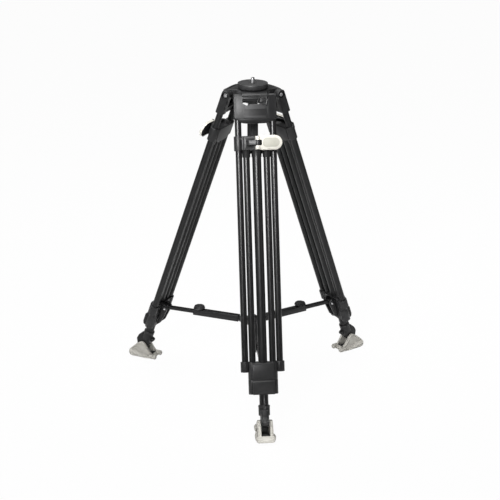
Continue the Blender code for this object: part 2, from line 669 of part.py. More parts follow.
def spreader_arm_mesh(cutters):
    """A channel open underneath, with an eye at its pivot. -Y runs along the arm."""
    eye = rod_shape((-EYE_HALF, 0, 0), (EYE_HALF, 0, 0), EYE_RADIUS)
    neck = block((-EYE_HALF, -CHANNEL_START - 0.004, -0.0045), (EYE_HALF, 0, 0.0045))
    channel = block((-CHANNEL_HALF, -CHANNEL_END, -CHANNEL_HALF_DEPTH),
                    (CHANNEL_HALF, -CHANNEL_START, CHANNEL_HALF_DEPTH))
    inside = CHANNEL_HALF - CHANNEL_WALL
    hollow = block((-inside, -0.2, -0.02),
                   (inside, -CHANNEL_START - 0.005, CHANNEL_HALF_DEPTH - CHANNEL_WALL))
    pin = rod_shape((-0.02, 0, 0), (0.02, 0, 0), SPREADER_PIN_RADIUS + GAP, SMALL_STEPS)
    boss = rod_shape((0, -KNOB_AT, CHANNEL_HALF_DEPTH - 0.0005),
                     (0, -KNOB_AT, CHANNEL_HALF_DEPTH + 0.002), 0.006, SMALL_STEPS)
    return solid("spreader_arm", channel, cutters, joins=[neck, eye, boss], cuts=[hollow, pin])


def spreader_knob_mesh(cutters):
    """The faceted clamp knob of an arm. Origin at its seat on the arm."""
    low = GAP
    waist = 0.0022
    base = rod_shape((0, 0, low), (0, 0, low + waist), KNOB_RADIUS * 0.8, KNOB_SIDES,
                     KNOB_RADIUS)
    cap = rod_shape((0, 0, low + waist - 0.00001), (0, 0, low + KNOB_HEIGHT), KNOB_RADIUS,
                    KNOB_SIDES, KNOB_RADIUS * 0.88)
    return solid("spreader_knob", base, cutters, joins=[cap])


def spreader_rod_mesh(cutters):
    """The thin inner bar: an eye on the leg's pin, the rest inside the arm. +Y runs inward."""
    eye = rod_shape((-EYE_HALF, 0, 0), (EYE_HALF, 0, 0), EYE_RADIUS)
    bar = block((-ROD_HALF, 0, -ROD_HALF_DEPTH), (ROD_HALF, ROD_LENGTH, ROD_HALF_DEPTH))
    pin = rod_shape((-0.02, 0, 0), (0.02, 0, 0), SPREADER_PIN_RADIUS + GAP, SMALL_STEPS)
    return solid("spreader_rod", bar, cutters, joins=[eye], cuts=[pin])


# Assembly ----------------------------------------------------------------------------------


def make_materials():
    return {
        "black_casting": make_material("black_casting", (0.028, 0.028, 0.029), 0.45, 0.2),
        "black_tube": make_material("black_tube", (0.022, 0.022, 0.023), 0.35, 0.6),
        "black_plate": make_material("black_plate", (0.024, 0.024, 0.026), 0.5, 0.3),
        "bright_steel": make_material("bright_steel", (0.62, 0.62, 0.63), 0.25, 1.0),
        "cream_plastic": make_material("cream_plastic", (0.72, 0.70, 0.64), 0.4),
        "cream_rubber": make_material("cream_rubber", (0.50, 0.48, 0.44), 0.6),
        "black_rubber": make_material("black_rubber", (0.018, 0.018, 0.019), 0.7),
    }


def place(name, mesh, material, collection, parent, location=(0, 0, 0), rotation=(0, 0, 0)):
    copy = mesh if mesh.users == 0 else mesh.copy()
    copy.materials.clear()
    copy.materials.append(material)
    obj = bpy.data.objects.new(name, copy)
    collection.objects.link(obj)
    obj.parent = parent
    obj.location = location
    obj.rotation_euler = rotation
    return obj


def make_empty(name, collection, parent, location=(0, 0, 0), rotation=(0, 0, 0)):
    empty = bpy.data.objects.new(name, None)
    empty.empty_display_size = 0.03
    collection.objects.link(empty)
    empty.parent = parent
    empty.location = location
    empty.rotation_euler = rotation
    return empty


def build_leg(index, meshes, looks, collection, axis):
    """One leg on an empty at its hinge, which turns it out by the spread angle."""
    label = LEG_NAMES[index]
    turn = index * LEG_STEP
    outward = Vector((math.sin(turn), -math.cos(turn), 0))
    hinge = make_empty(f"{label}_leg_hinge", collection, axis,
                       outward * HINGE_RADIUS + Vector((0, 0, HINGE_HEIGHT)),
                       (-LEG_SPREAD, 0, turn))
    fixed = (("shoulder", "black_casting"), ("angle_tab", "black_casting"),
             ("hinge_bolt", "bright_steel"), ("collar", "black_casting"),
             ("lower_casting", "black_casting"), ("end_block", "black_casting"),
             ("ankle", "black_casting"))
    for piece, look in fixed:
        place(f"{label}_{piece}", meshes[piece], looks[look], collection, hinge)
    for side, sign in (("left", -1), ("right", 1)):
        place(f"{label}_outer_tube_{side}", meshes["outer_tube"], looks["black_tube"],
              collection, hinge, (sign * OUTER_X, 0, 0))
        place(f"{label}_inner_tube_{side}", meshes["inner_tube"], looks["black_tube"],
              collection, hinge, (sign * INNER_X, -INNER_N, 0))
    place(f"{label}_centre_tube", meshes["centre_tube"], looks["black_tube"], collection, hinge,
          (0, -CENTRE_N, 0))
    pivot = (LEVER_PIVOT_X, -LEVER_PIVOT_N, -(COLLAR_TOP + COLLAR_BOTTOM) / 2)
    place(f"{label}_lever", meshes["lever"], looks["cream_plastic"], collection, hinge, pivot)
    place(f"{label}_lever_pin", meshes["lever_pin"], looks["bright_steel"], collection, hinge,
          pivot)
    place(f"{label}_foot", meshes["foot"], looks["cream_rubber"], collection, hinge,
          (0, -FOOT_PIVOT_N, -FOOT_PIVOT_S), (LEG_SPREAD, 0, 0))


def spreader_pin_place():
    """Radius and height of the pin that holds a spreader rod on its leg."""
    radius = (HINGE_RADIUS + SPREADER_PIN_S * math.sin(LEG_SPREAD)
              + SPREADER_PIN_N * math.cos(LEG_SPREAD))
    height = (HINGE_HEIGHT - SPREADER_PIN_S * math.cos(LEG_SPREAD)
              + SPREADER_PIN_N * math.sin(LEG_SPREAD))
    return radius, height


def build_spreader(meshes, looks, collection, axis):
    """Hub, arms, knobs and rods, all level with the line from hub to leg pin."""
    radius, height = spreader_pin_place()
    droop = math.atan2(HUB_HEIGHT - height, radius - ARM_PIVOT_RADIUS)
    place("spreader_hub", meshes["spreader_hub"], looks["black_casting"], collection, axis,
          (0, 0, HUB_HEIGHT))
    for index, label in enumerate(LEG_NAMES):
        turn = index * LEG_STEP
        outward = Vector((math.sin(turn), -math.cos(turn), 0))
        arm = make_empty(f"{label}_arm_pivot", collection, axis,
                         outward * ARM_PIVOT_RADIUS + Vector((0, 0, HUB_HEIGHT)),
                         (droop, 0, turn))
        place(f"{label}_spreader_arm", meshes["spreader_arm"], looks["black_tube"], collection,
              arm)
        place(f"{label}_spreader_knob", meshes["spreader_knob"], looks["black_rubber"],
              collection, arm, (0, -KNOB_AT, CHANNEL_HALF_DEPTH + 0.002))
        place(f"{label}_spreader_rod", meshes["spreader_rod"], looks["black_tube"], collection,
              axis, outward * radius + Vector((0, 0, height)), (droop, 0, turn))


def main():
    clear_scene()
    collection = make_collection(COLLECTION)
    cutters = make_collection(CUTTERS)
    looks = make_materials()
    axis = make_empty("tripod_axis", collection, None, (0, AXIS_Y, 0))
    meshes = {
        "hinge_bolt": hinge_bolt_mesh(cutters),
        "shoulder": shoulder_mesh(cutters),
        "angle_tab": angle_tab_mesh(cutters),
        "collar": collar_mesh(cutters),
        "lever": lever_mesh(cutters),
        "lever_pin": lever_pin_mesh(cutters),
        "lower_casting": lower_casting_mesh(cutters),
        "end_block": end_block_mesh(cutters),
        "ankle": ankle_mesh(cutters),
        "foot": foot_mesh(cutters),
        "outer_tube": tube_mesh("outer_tube", OUTER_RADIUS, SOCKET_TOP + GAP,
                                EAR_BOTTOM - EAR_FLOOR - GAP, cutters),
        "inner_tube": tube_mesh("inner_tube", INNER_RADIUS, COLLAR_TOP + 0.004 + GAP,
                                END_BOTTOM - END_FLOOR - GAP, cutters),
        "centre_tube": tube_mesh("centre_tube", CENTRE_RADIUS, COLLAR_TOP - 0.002,
                                 FERRULE_BOTTOM - 0.006 - GAP, cutters),
        "spreader_hub": spreader_hub_mesh(cutters),
        "spreader_arm": spreader_arm_mesh(cutters),
        "spreader_knob": spreader_knob_mesh(cutters),
        "spreader_rod": spreader_rod_mesh(cutters),
    }
    place("crown", crown_mesh(cutters), looks["black_casting"], collection, axis)
    place("head_plate", head_plate_mesh(cutters), looks["black_plate"], collection, axis)
    place("head_screw", head_screw_mesh(cutters), looks["bright_steel"], collection, axis)
    place("tie_down_handle", tie_down_mesh(cutters), looks["black_rubber"], collection, axis)
    for index in range(LEG_COUNT):
        build_leg(index, meshes, looks, collection, axis)
    build_spreader(meshes, looks, collection, axis)
    for mesh in [m for m in bpy.data.meshes if m.users == 0]:
        bpy.data.meshes.remove(mesh)


main()
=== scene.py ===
"""Looks of the twin-tube video tripod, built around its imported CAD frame."""

import json
import math

import bmesh
import bpy
from mathutils import Matrix, Vector


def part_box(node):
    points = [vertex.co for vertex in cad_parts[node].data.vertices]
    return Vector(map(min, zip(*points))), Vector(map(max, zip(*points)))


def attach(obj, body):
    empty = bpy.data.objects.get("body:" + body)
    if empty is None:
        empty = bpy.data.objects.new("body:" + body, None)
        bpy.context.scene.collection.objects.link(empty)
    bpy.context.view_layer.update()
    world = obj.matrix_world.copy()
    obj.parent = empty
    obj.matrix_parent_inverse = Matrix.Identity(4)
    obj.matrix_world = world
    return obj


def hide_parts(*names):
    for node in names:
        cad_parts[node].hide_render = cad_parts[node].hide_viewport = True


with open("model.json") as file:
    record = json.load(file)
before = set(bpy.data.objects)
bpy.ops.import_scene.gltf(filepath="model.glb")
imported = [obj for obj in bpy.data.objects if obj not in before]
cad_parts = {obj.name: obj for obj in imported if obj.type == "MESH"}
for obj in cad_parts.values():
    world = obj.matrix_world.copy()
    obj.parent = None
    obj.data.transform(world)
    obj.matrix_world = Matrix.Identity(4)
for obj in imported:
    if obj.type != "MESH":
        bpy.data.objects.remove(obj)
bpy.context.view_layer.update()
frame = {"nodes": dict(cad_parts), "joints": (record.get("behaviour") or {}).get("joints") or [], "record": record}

MM = 0.001
LEGS = ("front", "right", "left")
RECORD = frame["record"]
JOINTS = {joint["name"]: joint for joint in frame["joints"]}
BODY = {node: body for body, nodes in RECORD["behaviour"]["bodies"].items() for node in nodes}
SLOT = {part["node"]: part["material_slot"] for part in RECORD["subparts"]}

# Camera and light
CAMERA_PLACE = (-0.2803, -3.0108, 1.5365)
CAMERA_HEADING = math.radians(5.055)
CAMERA_PITCH = math.radians(20.674)
CAMERA_ANGLE = math.radians(22.036)
WORLD_LIGHT = 0.09
FLOOR_GLOW = 0.97
FLOOR_GAP = 0.0005
# Name, place, size, power, point aimed at, and full angle of the beam in degrees.
LIGHTS = (("top", (-0.3, 0.5, 2.7), (2, 2), 55, (0, 0, 0.45), 180),
          ("key", (-0.83, -1.94, 1.75), (0.6, 0.6), 3.6, (0, -0.05, 0.69), 37),
          ("left", (-2.3, -1.5, 2), (0.8, 1.6), 15, (0, 0, 0.45), 180),
          ("right", (2.4, -1.4, 1.1), (0.6, 1.8), 3.5, (0, 0, 0.45), 180),
          ("foot", (0.1, -1.15, 0.22), (0.1, 0.1), 0.036, (0, -0.29, 0.01), 13))
FLOOR_SIZE = 24

# Sizes in millimetres. In a leg, s runs down from its hinge, n outward, x across.
OUTER_X, OUTER_R, OUTER_ENDS = 42.5, 8, (21, 662.5)
INNER_X, INNER_N, INNER_R, INNER_ENDS = 24.75, 4, 8, (104, 715.5)
CENTRE_N, CENTRE_R, CENTRE_ENDS = 7, 11, (101, 765)
WALL = 1.4
SOCKET_GAP = 0.15
SLIDE_GAP = 0.2
SCREW_R, SCREW_PITCH, SCREW_DEPTH = 4.75, 1.5875, 0.75
LEVER_TIP_X, LEVER_HALF, LEVER_SLOT_HALF = 61.4, 18, 6.8
HUB_PIVOT_R = 30
ARM_LENGTH, ARM_HALF, ARM_HALF_DEPTH = 144, 7.8, 8.5
ROD_LENGTH, ROD_HALF, ROD_HALF_DEPTH = 112, 5.3, 4.5
KNOB_R, KNOB_HEIGHT, KNOB_GAP = 16.6, 9.4, 0.4

# Sides of a large and a small cylinder, merge distances in metres, edge angles, leg turns.
ROUND = 48
SMALL_ROUND = 24
MERGE = 0.00001
SEAM = 0.0000001
WELD = 0.000001
SHARP_ANGLE = 30
SOFTEN_ANGLE = math.radians(28)
BEVEL_ANGLE = math.radians(32)
FLAT_ANGLE = math.radians(0.6)
THIRDS = [Matrix.Rotation(index * 2 * math.pi / 3, 4, "Z") for index in range(3)]


# Shapes


def leg_point(x, n, s):
    """A point of the leg frame, given in millimetres."""
    return Vector((x, -n, -s)) * MM


def slab(x, n, s):
    """A box between pairs of x, n and s."""
    shape = bmesh.new()
    low = leg_point(x[0], n[1], s[1])
    high = leg_point(x[1], n[0], s[0])
    size = high - low
    place = Matrix.Translation((low + high) / 2)
    scale = Matrix.Diagonal((size.x, size.y, size.z, 1))
    bmesh.ops.create_cube(shape, size=1, matrix=place @ scale)
    return shape


def barrel(start, end, radius, sides=ROUND, end_radius=None):
    """A cylinder or cone between two leg points."""
    shape = bmesh.new()
    start, end = leg_point(*start), leg_point(*end)
    along = end - start
    turn = Vector((0, 0, 1)).rotation_difference(along).to_matrix().to_4x4()
    far = radius if end_radius is None else end_radius
    bmesh.ops.create_cone(shape, cap_ends=True, segments=sides, radius1=radius * MM,
                          radius2=far * MM, depth=along.length,
                          matrix=Matrix.Translation((start + end) / 2) @ turn)
    return shape


def post(x, n, s, radius, sides=ROUND, end_radius=None):
    """A cylinder or cone down the leg, between two stations."""
    return barrel((x, n, s[0]), (x, n, s[1]), radius, sides, end_radius)


def axle(half, n, s, radius, sides=SMALL_ROUND):
    """A cylinder straight across the leg, from -half to half."""
    return barrel((-half, n, s), (half, n, s), radius, sides)


def cone(radii, depth, place, sides):
    """A cone about Z with its lower and upper radius, centred on a place, in millimetres."""
    shape = bmesh.new()
    bmesh.ops.create_cone(shape, cap_ends=True, segments=sides, radius1=radii[0] * MM,
                          radius2=radii[1] * MM, depth=depth * MM,
                          matrix=Matrix.Translation(Vector(place) * MM))
    return shape


def ring_place(radius, share, z=0):
    """A place on a circle about Z; share goes from 0 to 1 round it."""
    angle = 2 * math.pi * share
    return radius * math.cos(angle), radius * math.sin(angle), z


def prism(corners, direction):
    """A closed outline of 3-D points, swept along a direction."""
    shape = bmesh.new()
    face = shape.faces.new([shape.verts.new(corner) for corner in corners])
    swept = bmesh.ops.extrude_face_region(shape, geom=[face])
    moved = [item for item in swept["geom"] if isinstance(item, bmesh.types.BMVert)]
    bmesh.ops.translate(shape, verts=moved, vec=direction)
    bmesh.ops.recalc_face_normals(shape, faces=shape.faces)
    return shape


def side_prism(points, x0, x1):
    """An (n, s) outline swept across the leg."""
    return prism([leg_point(x0, n, s) for n, s in points], Vector(((x1 - x0) * MM, 0, 0)))


def front_prism(points, n0, n1):
    """An (x, s) outline swept outward."""
    return prism([leg_point(x, n0, s) for x, s in points], Vector((0, (n0 - n1) * MM, 0)))


def section_prism(points, s0, s1):
    """An (x, n) outline swept down the leg."""
    return prism([leg_point(x, n, s0) for x, n in points], Vector((0, 0, (s0 - s1) * MM)))


def arc(centre, radius, start, end, steps):
    """Points on an arc, angles in degrees."""
    points = []
    for i in range(steps + 1):
        angle = math.radians(start + (end - start) * i / steps)
        points.append((centre[0] + radius * math.cos(angle), centre[1] + radius * math.sin(angle)))
    return points


def rounded(points, radii, steps=5):
    """An outline with its corners rounded by the given radii."""
    result = []
    count = len(points)
    for i, radius in enumerate(radii):
        here = Vector(points[i])
        before = (Vector(points[i - 1]) - here).normalized()
        after = (Vector(points[(i + 1) % count]) - here).normalized()
        if radius <= 0:
            result.append(tuple(here))
            continue
        half = before.angle(after) / 2
        reach = radius / math.tan(half)
        centre = here + (before + after).normalized() * radius / math.sin(half)
        first = here + before * reach - centre
        last = here + after * reach - centre
        for j in range(steps + 1):
            blend = first.lerp(last, j / steps).normalized() * radius
            result.append(tuple(centre + blend))
    return result


def mesh_from(shape, name):
    """Turns a shape into a mesh and frees it."""
    mesh = bpy.data.meshes.new(name)
    bmesh.ops.recalc_face_normals(shape, faces=shape.faces)
    shape.to_mesh(mesh)
    shape.free()
    return mesh


def shade(mesh, angle=SHARP_ANGLE):
    """Shades a mesh smooth, except over edges sharper than an angle in degrees."""
    mesh.shade_smooth()
    mesh.set_sharp_from_angle(angle=math.radians(angle))
    return mesh


def new_object(name, data):
    """A new object in the scene."""
    obj = bpy.data.objects.new(name, data)
    bpy.context.scene.collection.objects.link(obj)
    return obj


def soft(shape, width, segments):
    """Rounds the sharp edges of a shape."""
    bmesh.ops.recalc_face_normals(shape, faces=shape.faces)
    edges = [edge for edge in shape.edges
             if edge.is_manifold and edge.calc_face_angle(0) > SOFTEN_ANGLE]
    bmesh.ops.bevel(shape, geom=edges, offset=width * MM, segments=segments, profile=0.5,
                    affect="EDGES", clamp_overlap=True)
    return shape


def smoothstep(low, high, value):
    """Goes from 0 at low to 1 at high without a kink."""
    t = max(0, min(1, (value - low) / (high - low)))
    return t * t * (3 - 2 * t)


def smooth_outline(points, rounds):
    """A closed outline with its corners cut again and again, which never swings outside it."""
    for _ in range(rounds):
        cut = []
        for i, here in enumerate(points):
            after = points[(i + 1) % len(points)]
            for share in (0.25, 0.75):
                cut.append((here[0] + (after[0] - here[0]) * share,
                            here[1] + (after[1] - here[1]) * share))
        points = cut
    return points


def evaluated_mesh(obj):
    """The object's mesh with its modifiers applied."""
    bpy.context.view_layer.update()
    return bpy.data.meshes.new_from_object(obj.evaluated_get(bpy.context.evaluated_depsgraph_get()))


def carve(name, base, joins=(), cuts=(), late_joins=(), bevel=0):
    """A mesh made from shapes that are joined and cut, with its edges rounded on request."""
    target = new_object(name, mesh_from(base, name))
    tools = []
    for operation, shapes in (("UNION", joins), ("DIFFERENCE", cuts), ("UNION", late_joins)):
        for shape in shapes:
            tool = new_object("tool", mesh_from(shape, "tool"))
            tools.append(tool)
            modifier = target.modifiers.new(operation, "BOOLEAN")
            modifier.operation = operation
            modifier.object = tool
    mesh = evaluated_mesh(target)
    for tool in tools:
        bpy.data.objects.remove(tool, do_unlink=True)
    shape = bmesh.new()
    shape.from_mesh(mesh)
    bmesh.ops.remove_doubles(shape, verts=shape.verts, dist=MERGE)
    bmesh.ops.dissolve_degenerate(shape, dist=MERGE, edges=shape.edges)
    bmesh.ops.dissolve_limit(shape, angle_limit=FLAT_ANGLE, verts=shape.verts, edges=shape.edges)
    target.modifiers.clear()
    loose = [edge for edge in shape.edges if not edge.link_faces]
    bmesh.ops.delete(shape, geom=loose, context="EDGES")
    shape.to_mesh(target.data)
    shape.free()
    if bevel:
        edge = target.modifiers.new("Bevel", "BEVEL")
        edge.width = bevel * MM
        edge.segments = 2
        edge.limit_method = "ANGLE"
        edge.angle_limit = BEVEL_ANGLE
        edge.use_clamp_overlap = False
    mesh = evaluated_mesh(target)
    mesh.name = name
    bpy.data.objects.remove(target, do_unlink=True)
    return shade(mesh)


def turned(profile, steps):
    """A solid of revolution about Z from (radius, height) points in millimetres."""
    shape = bmesh.new()
    verts = [shape.verts.new((radius * MM, 0, z * MM)) for radius, z in profile]
    edges = [shape.edges.new(pair) for pair in zip(verts, verts[1:])]
    bmesh.ops.spin(shape, geom=verts + edges, cent=(0, 0, 0), axis=(0, 0, 1),
                   angle=2 * math.pi, steps=steps, use_merge=True)
    bmesh.ops.remove_doubles(shape, verts=shape.verts, dist=SEAM)
    return shape


# Materials


def feed(tree, target, inputs):
    """Gives a node's inputs their values, or links them where a socket is given."""
    for name, value in inputs.items():
        if isinstance(value, bpy.types.NodeSocket):
            tree.links.new(value, target.inputs[name])
        else:
            target.inputs[name].default_value = value


def new_node(tree, kind, inputs, **settings):
    """A shader node with its settings and inputs."""
    made = tree.nodes.new("ShaderNode" + kind)
    for name, value in settings.items():
        setattr(made, name, value)
    feed(tree, made, inputs)
    return made


def node_material(name):
    """A new material, its node tree and its surface shader."""
    material = bpy.data.materials.new(name)
    material.use_nodes = True
    return material, material.node_tree, material.node_tree.nodes["Principled BSDF"]


def object_place(tree):
    """The piece's own coordinates."""
    return new_node(tree, "TexCoord", {}).outputs["Object"]


def noise(tree, scale, detail, stretch=(1, 1, 1)):
    """Noise in the piece's own coordinates; scale is in features per metre."""
    mapping = new_node(tree, "Mapping", {"Vector": object_place(tree), "Scale": stretch})
    made = new_node(tree, "TexNoise", {"Vector": mapping.outputs["Vector"], "Scale": scale,
                                       "Detail": detail})
    return made.outputs["Fac"]


def ramp(tree, source, low, high, start=0.35, end=0.65):
    """Spreads two colours over the middle of a source's range."""
    made = new_node(tree, "ValToRGB", {"Fac": source})
    for element, position, colour in zip(made.color_ramp.elements, (start, end), (low, high)):
        element.position = position
        element.color = (*colour, 1)
    return made.outputs["Color"]


def remap(tree, source, low, high):
    """Maps a source from 0..1 to low..high."""
    made = new_node(tree, "MapRange", {"Value": source, "To Min": low, "To Max": high})
    return made.outputs["Result"]


def grain_finish(tree, shader, grain, roughness, depth, strength):
    """Lets one texture drive the roughness and a fine bump."""
    bump = new_node(tree, "Bump", {"Height": grain, "Distance": depth, "Strength": strength})
    feed(tree, shader, {"Roughness": remap(tree, grain, *roughness), "Normal": bump.outputs["Normal"]})


def edge_wear_and_highlight(tree, colour, wear_and_highlight_colour):
    """Mixes a lighter colour along convex edges: partly wear, partly a painted highlight."""
    pointed = new_node(tree, "NewGeometry", {}).outputs["Pointiness"]
    edge = ramp(tree, pointed, (0, 0, 0), (1, 1, 1), 0.52, 0.60)
    share = new_node(tree, "Math", {0: edge, 1: 0.5}, operation="MULTIPLY")
    mix = new_node(tree, "Mix", {"Factor": share.outputs[0], "A": colour,
                                 "B": (*wear_and_highlight_colour, 1)}, data_type="RGBA")
    return mix.outputs["Result"]


def casting_material():
    """Black powder coat on cast aluminium: fine orange peel, edges lightened partly as wear, partly as a painted
    highlight.
    """
    material, tree, shader = node_material("cast_black")
    colour = ramp(tree, noise(tree, 45, 3), (0.008, 0.008, 0.0085), (0.014, 0.014, 0.0145))
    # The edges are lighter partly as wear, partly as a painted highlight.
    feed(tree, shader, {"Base Color": edge_wear_and_highlight(tree, colour, (0.11, 0.11, 0.112)),
                        "Specular IOR Level": 0.4})
    grain_finish(tree, shader, noise(tree, 1400, 2), (0.34, 0.46), 0.00008, 0.5)
    return material


def drawn_material(name, scale, stretch, low, high, roughness, metallic):
    """Drawn or turned metal: one stretched noise gives tint, gloss and fine marks."""
    material, tree, shader = node_material(name)
    marks = noise(tree, scale, 3, stretch)
    feed(tree, shader, {"Base Color": ramp(tree, marks, low, high), "Metallic": metallic})
    grain_finish(tree, shader, marks, roughness, 0.00002, 0.4)
    return material


def plate_material():
    """Finely turned black plate: rings round its own axis."""
    material, tree, shader = node_material("turned_black")
    rings = new_node(tree, "TexWave", {"Vector": object_place(tree), "Scale": 260,
                                       "Distortion": 0.3}, wave_type="RINGS", rings_direction="Z")
    colour = ramp(tree, noise(tree, 90, 5), (0.013, 0.013, 0.014), (0.022, 0.022, 0.023))
    # The edges are lighter partly as wear, partly as a painted highlight.
    feed(tree, shader, {"Base Color": edge_wear_and_highlight(tree, colour, (0.08, 0.08, 0.08))})
    grain_finish(tree, shader, rings.outputs["Fac"], (0.42, 0.58), 0.00006, 0.6)
    return material


def plastic_material(name, low, high, roughness, grain_scale, grain_depth):
    """Moulded plastic or rubber: soft colour clouds, fine moulded grain, painted shade in corners."""
    material, tree, shader = node_material(name)
    colour = ramp(tree, noise(tree, 60, 4), low, high)
    # Painted shade: ambient occlusion darkens the colour in corners.
    corners = new_node(tree, "AmbientOcclusion", {"Distance": 0.006})
    corner_shade_colour = (*(0.55 * part for part in low), 1)
    corner_shade = new_node(tree, "Mix", {"Factor": corners.outputs["AO"], "A": corner_shade_colour, "B": colour},
                     data_type="RGBA")
    feed(tree, shader, {"Base Color": corner_shade.outputs["Result"]})
    grain_finish(tree, shader, noise(tree, grain_scale, 2),
                 (roughness - 0.06, roughness + 0.08), grain_depth, 0.5)
    return material


CAST = casting_material()
ANODISED = ((0.008, 0.008, 0.0085), (0.015, 0.015, 0.0155), (0.26, 0.38), 0.2)
TUBE = drawn_material("anodised_tube", 700, (1, 1, 0.01), *ANODISED)
BAR = drawn_material("anodised_bar", 700, (1, 0.01, 1), *ANODISED)
PLATE = plate_material()
STEEL = drawn_material("bright_steel", 900, (1, 1, 0.15), (0.55, 0.55, 0.56),
                       (0.74, 0.74, 0.75), (0.18, 0.34), 1)
CREAM = plastic_material("cream_plastic", (0.62, 0.60, 0.54), (0.68, 0.66, 0.60), 0.36, 1800, 0.00003)
SHOE = plastic_material("pale_rubber", (0.47, 0.455, 0.415), (0.54, 0.525, 0.48), 0.5, 1500, 0.00006)
GRIP = plastic_material("black_grip", (0.014, 0.014, 0.015), (0.024, 0.024, 0.025), 0.6, 1200, 0.00012)
INLAY = plastic_material("inlay_beige", (0.40, 0.39, 0.335), (0.45, 0.44, 0.385), 0.5, 1500, 0.00003)
NODE_LOOKS = {"black_casting": CAST, "black_tube": TUBE, "black_plate": PLATE,
              "bright_steel": STEEL, "cream_plastic": CREAM, "cream_rubber": SHOE,
              "black_rubber": GRIP}


def dress_frame():
    """Gives every CAD node the finish of its material slot."""
    for name, solid in frame["nodes"].items():
        solid.data.materials.clear()
        solid.data.materials.append(NODE_LOOKS[SLOT[name]])
        shade(solid.data, 35)


# Crown and head plate


def head_plate_mesh(top, radius):
    """The flat plate: turned face, square rim, undercut neck. Heights in mm."""
    under = top - 12
    neck = under - 7.5
    profile = [(4.9, top - 0.8), (5.6, top), (8.5, top), (8.8, top - 0.4), (10.2, top - 0.4),
               (10.5, top), (radius - 5.2, top), (radius - 4.9, top - 0.35),
               (radius - 4.2, top - 0.35), (radius - 3.9, top), (radius - 1, top),
               (radius - 0.3, top - 0.3), (radius, top - 1), (radius, under + 1.6),
               (radius - 0.4, under + 0.7), (radius - 1.3, under + 0.3), (radius - 3.6, under),
               (29.6, neck + 1), (29.2, neck), (7.9, neck), (7.9, neck + 4), (4.9, neck + 4),
               (4.9, top - 0.8)]
    return shade(mesh_from(turned(profile, 128), "head_plate"))


def thread_mesh(name, foot, tip, radius, pitch, depth):
    """A threaded stud about Z, slightly tapered at its tip."""
    sides, rows_per_turn = 32, 8
    rows = int((tip - foot) / pitch * rows_per_turn)
    rings = []
    for row in range(rows + 1):
        z = foot + (tip - foot) * row / rows
        fade = min(1, (tip - z) / 1.2 + 0.35)
        ring = []
        for side in range(sides):
            phase = ((z - foot) / pitch - side / sides) % 1
            tooth = abs(2 * phase - 1) * depth
            r = (radius - tooth) * (0.86 + 0.14 * fade)
            ring.append(Vector(ring_place(r, side / sides, z)) * MM)
        rings.append(ring)
    return shade(mesh_from(loft(rings), name), 50)


def crown_mesh(hinge_r, hinge_z, top):
    """Dome and three hooded arms; Z is the tripod's axis, arms start along -Y."""
    barrel_r, half = 9.8, 32
    dome = [(0, top - 2), (28, top - 2), (30.5, top - 1.6), (33, top - 0.2),
            (36, top - 0.4), (40, top - 1.6), (43, top - 3.6), (45, top - 6.5),
            (45, top - 12), (40.5, top - 16.5), (32, top - 22), (26.5, top - 29),
            (23, top - 34.5), (16.5, top - 37), (15.5, top - 40.5), (0, top - 40.5)]
    arms = []
    for spin in THIRDS:
        crest = [(20, -(top - 1)), (34, -(top - 0.9)), (43, -(top - 1.4))]
        hood = arc((hinge_r, -hinge_z), barrel_r + 2.2, -74, -8, 10)
        under = arc((hinge_r, -hinge_z), barrel_r, 8, 90, 8)
        outline = crest + hood + under + [(20, -(hinge_z - barrel_r))]
        arm = soft(side_prism(outline, -half, half), 2.2, 4)
        rib = soft(side_prism([(24, -(top - 20)), (hinge_r - 4, -(hinge_z - 6)),
                               (hinge_r - 12, -(hinge_z - 13)), (22, -(top - 33))], -4, 4), 0.8, 2)
        for shape in (arm, rib):
            shape.transform(spin)
            arms.append(shape)
    bowl = cone((20, 15), 30, (0, 0, top - 42), 64)
    return carve("crown", turned(dome, 96), joins=arms, cuts=[bowl])


def handle_mesh(top, length):
    """Fluted tie-down handle below the crown, about Z."""
    low = top - length
    profile = [(0, top + 32), (5, top + 32), (5, top + 8), (10.5, top + 7), (11.5, top + 5.5),
               (11.5, top + 0.6), (12.6, top - 0.6), (13.4, top - 3), (13.5, top - 8),
               (13.5, low + 7), (13.1, low + 3), (11.8, low + 0.9), (10.2, low), (0, low)]
    flutes = []
    for index in range(12):
        place = ring_place(14.6, (index + 0.5) / 12, top - length / 2)
        flutes.append(soft(cone((1.9, 1.9), length - 22, place, 16), 1, 2))
    return carve("tie_down_handle", turned(profile, 96), cuts=flutes, bevel=0.35)


# Shoulder


def face_n(x):
    """How far out the shoulder's bowed front face stands at x."""
    return 14.2 - 4.4 * (x / 51) ** 2


def bowed_slab(x, depth, s):
    """A slab that follows the bowed front face, between two depths under it."""
    columns = 20
    across = [x[0] + (x[1] - x[0]) * i / columns for i in range(columns + 1)]
    front = [(at, face_n(at) - depth[0]) for at in across]
    back = [(at, face_n(at) - depth[1]) for at in reversed(across)]
    return section_prism(front + back, *s)


